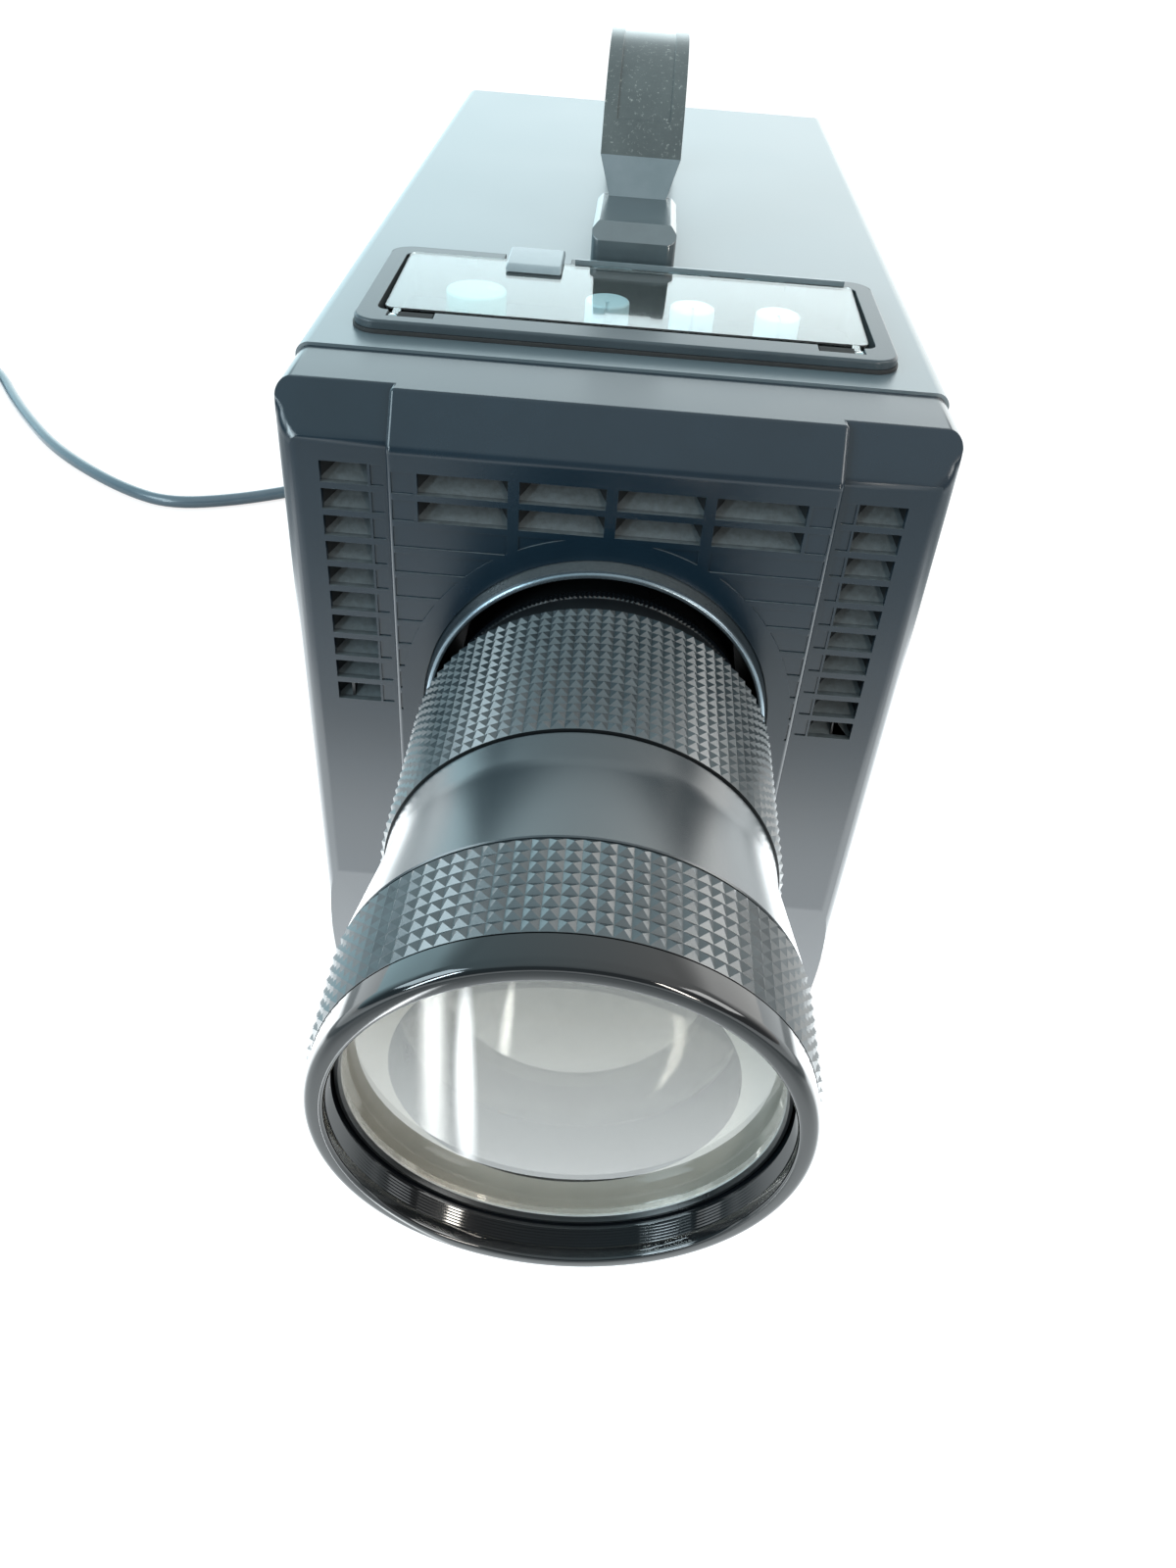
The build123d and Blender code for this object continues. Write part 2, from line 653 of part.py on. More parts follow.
# Control panel: a raised frame on a gasket, with a sunk well under the clear lid
frame_mid = (FRAME_FRONT + FRAME_REAR) / 2
well_mid = (WELL_FRONT + WELL_REAR) / 2
with BuildPart() as tray_gasket:
    with BuildSketch(level(0)) as ring:
        with Locations((0, frame_mid)):
            RectangleRounded(2 * FRAME_HALF + 1.2, FRAME_REAR - FRAME_FRONT + 1.2, FRAME_CORNER + 0.6)
        with Locations((0, well_mid)):
            Rectangle(2 * WELL_HALF + 3.6, WELL_REAR - WELL_FRONT + 3.6, mode=Mode.SUBTRACT)
    extrude(ring.sketch, amount=GASKET)
tray_gasket.part.label = "tray_gasket"
export_step(tray_gasket.part, "parts/tray_gasket.step")

with BuildPart() as control_tray:
    with BuildSketch(level(GASKET)) as frame_plan:
        with Locations((0, frame_mid)):
            RectangleRounded(2 * FRAME_HALF, FRAME_REAR - FRAME_FRONT, FRAME_CORNER)
    extrude(frame_plan.sketch, amount=FRAME_HEIGHT - GASKET)
    fillet(control_tray.faces().sort_by(Axis.Z)[-1].edges(), 1)
    with BuildSketch(level(-WELL_DROP - WELL_WALL)) as well_outer:
        with Locations((0, well_mid)):
            Rectangle(2 * (WELL_HALF + WELL_WALL), WELL_REAR - WELL_FRONT + 2 * WELL_WALL)
    extrude(well_outer.sketch, amount=WELL_DROP + WELL_WALL + GASKET)
    with BuildSketch(level(-WELL_DROP)) as well_inner:
        with Locations((0, well_mid)):
            RectangleRounded(2 * WELL_HALF, WELL_REAR - WELL_FRONT, 4)
    extrude(well_inner.sketch, amount=WELL_DROP + 2 * FRAME_HEIGHT, mode=Mode.SUBTRACT)
    for span in both_sides(66.4, 82.6):
        extrude(*box(span, (56.6, WELL_FRONT + 1), (GASKET, 2 * FRAME_HEIGHT)), mode=Mode.SUBTRACT)
    extrude(*box((TAB_X[0] - 2, TAB_X[1] + 2.6), (WELL_REAR - 1, FRAME_REAR + 1), (GASKET, 2 * FRAME_HEIGHT)),
            mode=Mode.SUBTRACT)
    for span in both_sides(60, 68):
        extrude(*box(span, (WELL_REAR - 2.4, WELL_REAR), (0.6, LID_BOTTOM + 1.7)))
    with BuildSketch(level(-WELL_DROP - WELL_WALL)) as shaft_holes:
        with Locations(*[(x, KNOB_DEPTH) for x in KNOB_X]):
            Circle(SHAFT_R + RUNNING)
        with Locations((BUTTON_X, KNOB_DEPTH)):
            Circle(STEM_R + RUNNING)
    extrude(shaft_holes.sketch, amount=2 * WELL_WALL, mode=Mode.SUBTRACT)
control_tray.part.label = "control_tray"
export_step(control_tray.part, "parts/control_tray.step")

# Pale window of the power lamp, on a ledge under the front strip
with BuildPart() as lamp_window:
    extrude(*box((-6.6, 4.6), (WELL_FRONT, 66.5), (1.4, 2.8)))
    fillet(lamp_window.edges().filter_by(Axis.Z).sort_by(Axis.Y)[-2:], 1.3)
lamp_window.part.label = "lamp_window"
export_step(lamp_window.part, "parts/lamp_window.step")

# Hinge blocks in the notches of the front strip, with a steel pin out of each
with BuildPart() as hinge_blocks:
    for span in both_sides(66.8, 79.0):
        extrude(*box(span, (57.2, 62.2), (GASKET, 4.2)))
    with BuildSketch(SIDE_PLANE.offset(-FRAME_HALF)) as pin_bore:
        with Locations((HINGE_DEPTH, HINGE_RISE - 0.4)):
            Circle(PIN_R)
    extrude(pin_bore.sketch, amount=2 * FRAME_HALF, mode=Mode.SUBTRACT)
hinge_blocks.part.label = "hinge_blocks"
export_step(hinge_blocks.part, "parts/hinge_blocks.step")

with BuildPart() as hinge_pins:
    for low, high in both_sides(66.8, 82.2):
        with BuildSketch(SIDE_PLANE.offset(low)) as pin:
            with Locations((HINGE_DEPTH, HINGE_RISE - 0.4)):
                Circle(PIN_R)
        extrude(pin.sketch, amount=high - low)
hinge_pins.part.label = "hinge_pins"
export_step(hinge_pins.part, "parts/hinge_pins.step")

# Clear lid with a lug at each front corner; it rests on the well's rear pegs, a little higher there
with BuildPart() as clear_lid:
    with BuildSketch(level(LID_BOTTOM)) as lid_plan:
        with Locations((0, (LID_FRONT + LID_REAR) / 2)):
            RectangleRounded(2 * LID_HALF, LID_REAR - LID_FRONT, 3.5)
    extrude(lid_plan.sketch, amount=LID_THICK)
    chamfer(clear_lid.faces().sort_by(Axis.Z)[-1].edges(), 0.5)
    for low, high in both_sides(*LUG_X):
        with BuildSketch(SIDE_PLANE.offset(low)) as lug:
            with Locations((HINGE_DEPTH, HINGE_RISE - 0.4)):
                Circle(1.35)
            with Locations(((HINGE_DEPTH + LID_FRONT + 3) / 2, LID_BOTTOM + 0.8)):
                Rectangle(LID_FRONT + 3 - HINGE_DEPTH, 1.6)
            with Locations((HINGE_DEPTH, HINGE_RISE - 0.4)):
                Circle(PIN_R + RUNNING, mode=Mode.SUBTRACT)
        extrude(lug.sketch, amount=high - low)
clear_lid.part = clear_lid.part.rotate(HINGE_AXIS, LID_TILT)
clear_lid.part.label = "clear_lid"
export_step(clear_lid.part, "parts/clear_lid.step")

with BuildPart() as lid_tab:
    tab_top = LID_BOTTOM + LID_THICK + 2.4
    tab_side = outline(SIDE_PLANE, (113, LID_BOTTOM + LID_THICK), (114.2, tab_top - 0.6), (117, tab_top),
                       (135.4, tab_top), (137.6, tab_top - 1.6), (137.6, 2.2), (136, 2.2),
                       (LID_REAR, LID_BOTTOM + 0.2), (LID_REAR, LID_BOTTOM + LID_THICK))
    extrude(tab_side, amount=(TAB_X[1] - TAB_X[0]) / 2, both=True)
lid_tab.part = lid_tab.part.moved(Location(((TAB_X[0] + TAB_X[1]) / 2, 0, 0))).rotate(HINGE_AXIS, LID_TILT)
lid_tab.part.label = "lid_tab"
export_step(lid_tab.part, "parts/lid_tab.step")

# Push button and the three adjusting knobs
with BuildPart() as power_button:
    with BuildSketch(level(CAP_FOOT + 1)) as cap:
        with Locations((BUTTON_X, KNOB_DEPTH)):
            Circle(BUTTON_R)
    extrude(cap.sketch, amount=CAP_TOP - CAP_FOOT - 1)
    fillet(power_button.faces().sort_by(Axis.Z)[-1].edges(), 0.9)
    with BuildSketch(level(CAP_FOOT + 1)) as stem:
        with Locations((BUTTON_X, KNOB_DEPTH)):
            Circle(STEM_R)
    extrude(stem.sketch, amount=-12)
power_button.part.label = "power_button"
export_step(power_button.part, "parts/power_button.step")

for number, knob_x in enumerate(KNOB_X, start=1):
    with BuildPart() as knob:
        with BuildSketch(level(CAP_FOOT)) as skirt:
            with Locations((knob_x, KNOB_DEPTH)):
                Circle(KNOB_R)
        extrude(skirt.sketch, amount=CAP_TOP - CAP_FOOT)
        fillet(knob.faces().sort_by(Axis.Z)[-1].edges(), 0.9)
        pointer = (KNOB_DEPTH - KNOB_R - 1, KNOB_DEPTH - KNOB_R + 0.6)
        extrude(*box((knob_x - 0.5, knob_x + 0.5), pointer, (CAP_FOOT - 1, CAP_TOP + 1)),
                mode=Mode.SUBTRACT)
        extrude(*box((knob_x - 0.5, knob_x + 0.5), (KNOB_DEPTH - KNOB_R - 1, KNOB_DEPTH - 1.5),
                     (CAP_TOP - 0.5, CAP_TOP + 1)), mode=Mode.SUBTRACT)
        with BuildSketch(level(CAP_FOOT)) as shaft:
            with Locations((knob_x, KNOB_DEPTH)):
                Circle(SHAFT_R)
        extrude(shaft.sketch, amount=-11)
    knob.part.label = f"knob_{number}"
    export_step(knob.part, f"parts/knob_{number}.step")

with BuildPart() as control_switchgear:
    under_well = -WELL_DROP - WELL_WALL
    with BuildSketch(level(under_well)) as cans:
        with Locations(*[(x, KNOB_DEPTH) for x in KNOB_X]):
            Circle(8)
        with Locations((BUTTON_X, KNOB_DEPTH)):
            Rectangle(22, 22)
    extrude(cans.sketch, amount=-14)
    with BuildSketch(level(under_well)) as can_bores:
        with Locations(*[(x, KNOB_DEPTH) for x in KNOB_X]):
            Circle(SHAFT_R + RUNNING)
        with Locations((BUTTON_X, KNOB_DEPTH)):
            Circle(STEM_R + RUNNING)
    extrude(can_bores.sketch, amount=-11, mode=Mode.SUBTRACT)
control_switchgear.part.label = "control_switchgear"
export_step(control_switchgear.part, "parts/control_switchgear.step")

with BuildPart() as control_board:
    extrude(*box((-80, 80), (76, 118), (under_well - 15.6, under_well - 14)))
control_board.part.label = "control_board"
export_step(control_board.part, "parts/control_board.step")


# Carrying handle: a stiff rubber bow whose necks stand in two moulded feet
def bow_side(thick, sweep, crest):
    """Side view of the bow, a strip of an arc with its crest at a rise over the cover."""
    centre = crest - BOW_R
    with BuildSketch(SIDE_PLANE) as strip:
        with BuildLine():
            start = (HANDLE_DEPTH - BOW_R * sin(sweep), centre + BOW_R * cos(sweep))
            end = (HANDLE_DEPTH + BOW_R * sin(sweep), centre + BOW_R * cos(sweep))
            outer = ThreePointArc(start, (HANDLE_DEPTH, crest), end)
            low = BOW_R - thick
            inner_end = (HANDLE_DEPTH + low * sin(sweep), centre + low * cos(sweep))
            inner_start = (HANDLE_DEPTH - low * sin(sweep), centre + low * cos(sweep))
            Line(outer @ 1, inner_end)
            ThreePointArc(inner_end, (HANDLE_DEPTH, centre + low), inner_start)
            Line(inner_start, outer @ 0)
        make_face()
    return strip.sketch


with BuildPart() as handle_strap:
    bow_angle = radians(BOW_SWEEP)
    extrude(bow_side(BOW_THICK, bow_angle, BOW_CREST), amount=HANDLE_HALF, both=True)
    arc_centre = BOW_CREST - BOW_R
    for sign in (-1, 1):
        outer = (HANDLE_DEPTH + sign * BOW_R * sin(bow_angle), arc_centre + BOW_R * cos(bow_angle))
        inner_r = BOW_R - BOW_THICK
        inner = (HANDLE_DEPTH + sign * inner_r * sin(bow_angle), arc_centre + inner_r * cos(bow_angle))
        neck = 27
        run = (sign * neck * cos(bow_angle), -neck * sin(bow_angle))
        extrude(outline(SIDE_PLANE, outer, (outer[0] + run[0], outer[1] + run[1]),
                        (inner[0] + run[0], inner[1] + run[1]), inner), amount=HANDLE_HALF, both=True)
    neck_top = arc_centre + BOW_R * cos(bow_angle)
    width = outline(upright(HANDLE_DEPTH), (-HANDLE_HALF, BOW_CREST + 1), (HANDLE_HALF, BOW_CREST + 1),
                    (HANDLE_HALF, neck_top), (NECK_HALF, FOOT_TOP), (NECK_HALF, 0), (-NECK_HALF, 0),
                    (-NECK_HALF, FOOT_TOP), (-HANDLE_HALF, neck_top))
    extrude(width, amount=100, both=True, mode=Mode.INTERSECT)
    with BuildSketch(SIDE_PLANE) as channel:
        with Locations((HANDLE_DEPTH, arc_centre)):
            Circle(BOW_R + 2)
            Circle(BOW_R - 0.7, mode=Mode.SUBTRACT)
        with Locations((HANDLE_DEPTH, neck_top + 12 + 50)):
            Rectangle(4 * BOW_R, 100, mode=Mode.INTERSECT)
    extrude(channel.sketch, amount=HANDLE_HALF - 5.6, both=True, mode=Mode.SUBTRACT)
handle_strap.part.label = "handle_strap"
export_step(handle_strap.part, "parts/handle_strap.step")

def handle_foot(sign):
    """Moulded foot at the front (-1) or the rear (1) end of the handle, with the neck's socket."""
    far = HANDLE_DEPTH + sign * FOOT_FAR
    near = HANDLE_DEPTH + sign * FOOT_NEAR
    with BuildPart() as foot:
        extrude(outline(SIDE_PLANE, (far, 0), (far, 11.5), (far - sign * 7, FOOT_TOP), (near, FOOT_TOP),
                        (near, 0)), amount=HANDLE_HALF, both=True)
        fillet(foot.edges().filter_by(Axis.Z).group_by(Axis.Y)[-1 if sign > 0 else 0], 3.5)
        chamfer(foot.faces().sort_by(Axis.Z)[-1].edges().filter_by(Axis.Y), 2.4)
        add(handle_strap.part, mode=Mode.SUBTRACT)
        with BuildSketch(level(0)) as screw_bores:
            with Locations((0, HANDLE_DEPTH + sign * 86)):
                with GridLocations(20, 0, 2, 1):
                    Circle(2)
        extrude(screw_bores.sketch, amount=9, mode=Mode.SUBTRACT)
    return foot.part


with BuildPart() as handle_feet:
    add(handle_foot(-1))
    add(handle_foot(1))
handle_feet.part.label = "handle_feet"
export_step(handle_feet.part, "parts/handle_feet.step")

with BuildPart() as handle_screws:
    for sign in (-1, 1):
        with BuildSketch(level(-SHEET)) as heads:
            with Locations((0, HANDLE_DEPTH + sign * 86)):
                with GridLocations(20, 0, 2, 1):
                    Circle(4)
        extrude(heads.sketch, amount=-2.4)
        with BuildSketch(level(-SHEET)) as shanks:
            with Locations((0, HANDLE_DEPTH + sign * 86)):
                with GridLocations(20, 0, 2, 1):
                    Circle(2)
        extrude(shanks.sketch, amount=SHEET + 9)
handle_screws.part.label = "handle_screws"
export_step(handle_screws.part, "parts/handle_screws.step")

# Light path inside: lamp, heat filter, mirrors, three panels round a prism, on one base
OPTICS_FLOOR = -172.0
PRISM_HALF = 26.0
PRISM_DEPTH = 100.0
panel_rise = (-LENS_DROP - PRISM_HALF, -LENS_DROP + PRISM_HALF)
with BuildPart() as optics_base:
    extrude(*box((-100, 100), (66, 440), (OPTICS_FLOOR - 3, OPTICS_FLOOR)))
    for span in both_sides(92, 100):
        for depth in (80, 260, 410):
            extrude(*box(span, (depth - 4, depth + 4), (-UNDERSIDE + 1.5, OPTICS_FLOOR - 3)))
    stand = PRISM_HALF + 6
    extrude(*box((-stand, stand), (PRISM_DEPTH - stand, PRISM_DEPTH + stand), (OPTICS_FLOOR, panel_rise[0])))
optics_base.part.label = "optics_base"
export_step(optics_base.part, "parts/optics_base.step")

with BuildPart() as prism_block:
    extrude(*box((-PRISM_HALF, PRISM_HALF), (PRISM_DEPTH - PRISM_HALF, PRISM_DEPTH + PRISM_HALF), panel_rise))
prism_block.part.label = "prism_block"
export_step(prism_block.part, "parts/prism_block.step")

with BuildPart() as display_panels:
    for span in both_sides(PRISM_HALF, PRISM_HALF + 4):
        extrude(*box(span, (PRISM_DEPTH - 24, PRISM_DEPTH + 24), panel_rise))
    extrude(*box((-24, 24), (PRISM_DEPTH + PRISM_HALF, PRISM_DEPTH + PRISM_HALF + 4), panel_rise))
display_panels.part.label = "display_panels"
export_step(display_panels.part, "parts/display_panels.step")


def slanted_mirror(x, depth):
    """Upright mirror plate at 45 degrees, standing on the optics base."""
    with BuildSketch(level(OPTICS_FLOOR)) as plate:
        with Locations(Location((x, depth), 45)):
            Rectangle(64, 2.5)
    return plate.sketch


with BuildPart() as mirrors:
    for x, depth in ((-66, PRISM_DEPTH), (-66, 200), (0, 200), (0, 262)):
        extrude(slanted_mirror(x, depth), amount=86)
mirrors.part.label = "mirrors"
export_step(mirrors.part, "parts/mirrors.step")

LAMP_DEPTH = 380.0
with BuildPart() as lamp_housing:
    extrude(*box((-52, 52), (320, 430), (OPTICS_FLOOR, -52)))
    extrude(*box((-50, 50), (318, 428), (OPTICS_FLOOR + 2, -54)), mode=Mode.SUBTRACT)
    extrude(*box((-30, 30), (420, 440), (-140, -84)), mode=Mode.SUBTRACT)
lamp_housing.part.label = "lamp_housing"
export_step(lamp_housing.part, "parts/lamp_housing.step")

with BuildPart() as lamp_reflector:
    revolve(turned((342, 46), (342, 43.5), (366, 36), (384, 22), (392, 8), (408, 8), (408, 11), (394, 13),
                   (386, 25), (367, 39)), axis=LENS_AXIS)
lamp_reflector.part.label = "lamp_reflector"
export_step(lamp_reflector.part, "parts/lamp_reflector.step")

with BuildPart() as lamp_holder:
    extrude(*box((-14, 14), (408, 428), (-LENS_DROP - 14, -LENS_DROP + 14)))
    extrude(*box((-14, 14), (400, 428), (OPTICS_FLOOR + 2, -LENS_DROP - 14)))
lamp_holder.part.label = "lamp_holder"
export_step(lamp_holder.part, "parts/lamp_holder.step")

with BuildPart() as lamp_bulb:
    with BuildSketch(LENS_PLANE) as bulb_half:
        with BuildLine():
            Polyline((408, 0), (408, 5), (382, 5), (378, 9), (366, 9), (360, 4), (352, 3), (352, 0), close=True)
        make_face()
    revolve(bulb_half.sketch, axis=LENS_AXIS)
lamp_bulb.part.label = "lamp_bulb"
export_step(lamp_bulb.part, "parts/lamp_bulb.step")

with BuildPart() as heat_filter:
    extrude(*box((-46, 46), (300, 303), (OPTICS_FLOOR, -62)))
heat_filter.part.label = "heat_filter"
export_step(heat_filter.part, "parts/heat_filter.step")

# Cooling fan against the rear grille
FAN_FRONT = COVER_REAR - 25.5
with BuildPart() as fan_frame:
    with BuildSketch(upright(FAN_FRONT)) as frame_face:
        with Locations((FAN_X, -FAN_DROP)):
            RectangleRounded(92, 92, 6)
            Circle(43, mode=Mode.SUBTRACT)
    extrude(frame_face.sketch, amount=-25.5)
    with BuildSketch(upright(FAN_FRONT)) as struts:
        with Locations((FAN_X, -FAN_DROP)):
            Rectangle(88, 5)
            Rectangle(5, 88)
            Circle(14)
    extrude(struts.sketch, amount=-3)
fan_frame.part.label = "fan_frame"
export_step(fan_frame.part, "parts/fan_frame.step")

with BuildPart() as fan_rotor:
    with BuildSketch(upright(FAN_FRONT + 3.4)) as hub:
        with Locations((FAN_X, -FAN_DROP)):
            Circle(17)
    extrude(hub.sketch, amount=-18)
    with BuildSketch(upright(FAN_FRONT + 6)) as vanes:
        with Locations((FAN_X, -FAN_DROP)):
            with PolarLocations(28.5, 7):
                Rectangle(25.5, 5, rotation=0)
    extrude(vanes.sketch, amount=-13)
fan_rotor.part.label = "fan_rotor"
export_step(fan_rotor.part, "parts/fan_rotor.step")

# Electronics on the chassis floor
with BuildPart() as power_supply:
    extrude(*box((-88, -8), (200, 420), (-UNDERSIDE + 1.5, -205)))
    extrude(*box((-86.8, -9.2), (201.2, 421), (-UNDERSIDE + 2.7, -206.2)), mode=Mode.SUBTRACT)
power_supply.part.label = "power_supply"
export_step(power_supply.part, "parts/power_supply.step")

with BuildPart() as main_board:
    extrude(*box((4, 88), (60, 440), (-272, -270.4)))
    for x in (10, 80):
        for depth in (70, 250, 425):
            extrude(*box((x - 3, x + 3), (depth - 3, depth + 3), (-UNDERSIDE + 1.5, -272)))
    extrude(*box((20, 50), (120, 150), (-270.4, -266)))
    extrude(*box((60, 84), (200, 224), (-270.4, -266)))
    extrude(*box((16, 84), (320, 330), (-270.4, -250)))
main_board.part.label = "main_board"
export_step(main_board.part, "parts/main_board.step")


# Mains lead: a tapered gland, the free stretch over the table, a put-away coil and the plug
def lead_radii(points):
    """One bend radius for each inner point, as large as its two runs allow."""
    radii = []
    for before, corner, after in zip(points, points[1:], points[2:]):
        run_in = Vector(*corner) - Vector(*before)
        run_out = Vector(*after) - Vector(*corner)
        turn = radians(run_in.get_angle(run_out))
        radii.append(0.45 * min(run_in.length, run_out.length) / tan(turn / 2))
    return radii


def round_tube(points, name):
    """Tube of straight runs joined by tangent arcs through the given points."""
    radii = lead_radii(points)
    print(name, "bend radii", [round(r) for r in radii])
    with BuildPart() as tube:
        with BuildLine() as route:
            FilletPolyline(*points, radius=radii)
        with BuildSketch(Plane(origin=points[0], z_dir=Vector(*points[1]) - Vector(*points[0]))):
            Circle(CORD_R)
        sweep()
    length = route.wires()[0].length
    print(name, "length", round(length, 1), "volume ratio", round(tube.part.volume / (pi * CORD_R ** 2 * length), 4))
    return tube.part


gland_back = FACE + REAR_END
with BuildPart() as cord_gland:
    with BuildSketch(Plane(origin=(GLAND_X, gland_back, GLAND_Z), x_dir=(0, 1, 0), z_dir=(1, 0, 0))) as half:
        with BuildLine():
            Polyline((-8, 0), (-8, 9), (-4, 9), (-4, 6.9), (0, 6.9), (0, 9.5), (5, 9.5), (7, 8),
                     (GLAND_LENGTH, 5.4), (GLAND_LENGTH, 0), close=True)
        make_face()
    revolve(half.sketch, axis=Axis((GLAND_X, 0, GLAND_Z), (0, 1, 0)))
cord_gland.part.label = "cord_gland"
export_step(cord_gland.part, "parts/cord_gland.step")

LEAD_ROUTE = [
    (GLAND_X, gland_back + GLAND_LENGTH, GLAND_Z),
    (GLAND_X, 395, GLAND_Z),
    (-84, 423, 38),
    (-110, 441, 24),
    (-144, 438, 11),
    (-178, 414, CORD_Z),
    (-211, 379, CORD_Z),
    (-249, 348.5, CORD_Z),
    (-294, 323, CORD_Z),
    (-338, 310.5, CORD_Z),
    (-376, 326, CORD_Z),
    (-420, 356.5, CORD_Z),
    (-460, 391.5, CORD_Z),
    (-496, 434, CORD_Z),
    (-530, 479, CORD_Z),
    (-559, 523, CORD_Z),
    (-595, 560.5, CORD_Z),
]
with BuildPart() as power_cord:
    add(round_tube(LEAD_ROUTE, "power cord"))
power_cord.part.label = "power_cord"
export_step(power_cord.part, "parts/power_cord.step")

# Coil: it spirals in on the table, climbs one layer in half a turn, and spirals out on top
COIL_R = 60.0
COIL_PITCH = 9.8
COIL_IN_TURNS = 1.75
COIL_CLIMB = 0.5
COIL_OUT_TURNS = 1.75
STRAIGHT_END = 2 * CORD_R
lead_end = Vector(*LEAD_ROUTE[-1])
lead_way = (lead_end - Vector(*LEAD_ROUTE[-2])).normalized()
coil_start = lead_end + lead_way * STRAIGHT_END
coil_centre = coil_start + Vector(-lead_way.Y, lead_way.X, 0) * COIL_R
coil_turns = COIL_IN_TURNS + COIL_CLIMB + COIL_OUT_TURNS


def coil_point(turn):
    """Point on the coil's middle line, a number of turns after its start."""
    climbed = min(max((turn - COIL_IN_TURNS) / COIL_CLIMB, 0), 1)
    radius = COIL_R - COIL_PITCH * min(turn, COIL_IN_TURNS)
    radius -= COIL_PITCH * COIL_CLIMB * climbed * (1 - climbed)
    radius += COIL_PITCH * max(0, turn - COIL_IN_TURNS - COIL_CLIMB)
    height = COIL_PITCH * (3 * climbed ** 2 - 2 * climbed ** 3)
    arm = (coil_start - coil_centre).normalized().rotate(Axis.Z, 360 * turn)
    return coil_centre + arm * radius + Vector(0, 0, height)


def coil_way(turn):
    """Direction of travel on the coil's middle line."""
    if turn <= 0:
        return lead_way
    step = 0.002
    return (coil_point(turn + step) - coil_point(turn - step)).normalized()


def biarc(start, start_way, end, end_way):
    """Two tangent arcs from one point and direction to another."""
    chord = end - start
    ways = start_way + end_way
    bend = 2 * (1 - start_way.dot(end_way))
    reach = (-chord.dot(ways) + sqrt(chord.dot(ways) ** 2 + bend * chord.dot(chord))) / bend
    first = start + start_way * reach
    second = end - end_way * reach
    middle = (first + second) / 2
    TangentArc(start, middle, tangent=start_way)
    TangentArc(middle, end, tangent=(second - first).normalized())


with BuildPart() as cord_coil:
    quarter_turns = [n / 4 for n in range(int(coil_turns * 4) + 1)]
    coil_end = coil_point(coil_turns)
    end_way = coil_way(coil_turns)
    end_way = Vector(end_way.X, end_way.Y, 0).normalized()
    with BuildLine() as winding:
        Line(lead_end, coil_start)
        for turn, following in zip(quarter_turns, quarter_turns[1:]):
            far_way = end_way if following == quarter_turns[-1] else coil_way(following)
            biarc(coil_point(turn), coil_way(turn), coil_point(following), far_way)
        Line(coil_end, coil_end + end_way * STRAIGHT_END)
    with BuildSketch(Plane(origin=lead_end, z_dir=lead_way)):
        Circle(CORD_R)
    sweep()
cord_coil.part.label = "cord_coil"
export_step(cord_coil.part, "parts/cord_coil.step")

samples = [coil_point(coil_turns * n / 400) for n in range(401)]
gaps = [
    (samples[i] - samples[j]).length - 2 * CORD_R
    for i in range(0, 401, 2)
    for j in range(i + 60, 401)
]
coil_length = sum((b - a).length for a, b in zip(samples, samples[1:])) + 2 * STRAIGHT_END
print("coil least gap", round(min(gaps), 2), "length", round(coil_length, 1))

tail_start = coil_end + end_way * STRAIGHT_END
aside = Vector(end_way.Y, -end_way.X, 0)
TAIL_ROUTE = [
    tuple(tail_start),
    tuple(tail_start + end_way * 26),
    tuple(tail_start + end_way * 52 + aside * 5),
]
with BuildPart() as cord_tail:
    add(round_tube(TAIL_ROUTE, "cord tail"))
cord_tail.part.label = "cord_tail"
export_step(cord_tail.part, "parts/cord_tail.step")

plug_start = Vector(*TAIL_ROUTE[-1])
plug_way = (plug_start - Vector(*TAIL_ROUTE[-2])).normalized()
PLUG_HALF = plug_start.Z
plug_plane = Plane(origin=plug_start, x_dir=(plug_way.Y, -plug_way.X, 0), z_dir=plug_way)
with BuildPart() as plug:
    with BuildSketch(plug_plane, plug_plane.offset(22)):
        Circle(6.5)
    loft()
    with BuildSketch(plug_plane.offset(22)) as shoulder:
        RectangleRounded(22, 20, 5)
    with BuildSketch(plug_plane.offset(34)) as grip_end:
        RectangleRounded(27, 2 * PLUG_HALF, 6)
    loft([shoulder.sketch, grip_end.sketch])
    extrude(grip_end.sketch, amount=16)
plug.part.label = "plug"
export_step(plug.part, "parts/plug.step")

with BuildPart() as plug_pins:
    with BuildSketch(plug_plane.offset(50)) as blades:
        with Locations((-6.35, 3), (6.35, 3)):
            Rectangle(1.5, 6.3)
        with Locations((0, -8.9)):
            Circle(2.4)
    extrude(blades.sketch, amount=18)
plug_pins.part.label = "plug_pins"
export_step(plug_pins.part, "parts/plug_pins.step")
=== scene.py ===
"""The projector as it looks: finishes, lens, knurled grips, lid, knobs, handle and mains lead.

Sizes are in millimetres until `mm` turns them to metres. Depths are counted back from the plane
of the bezel's side columns and rises up from the top of the steel cover, as on the drawing.
"""
import json
from math import atan2, cos, pi, radians, sin, sqrt

import bmesh
import bpy
from mathutils import Matrix, Vector

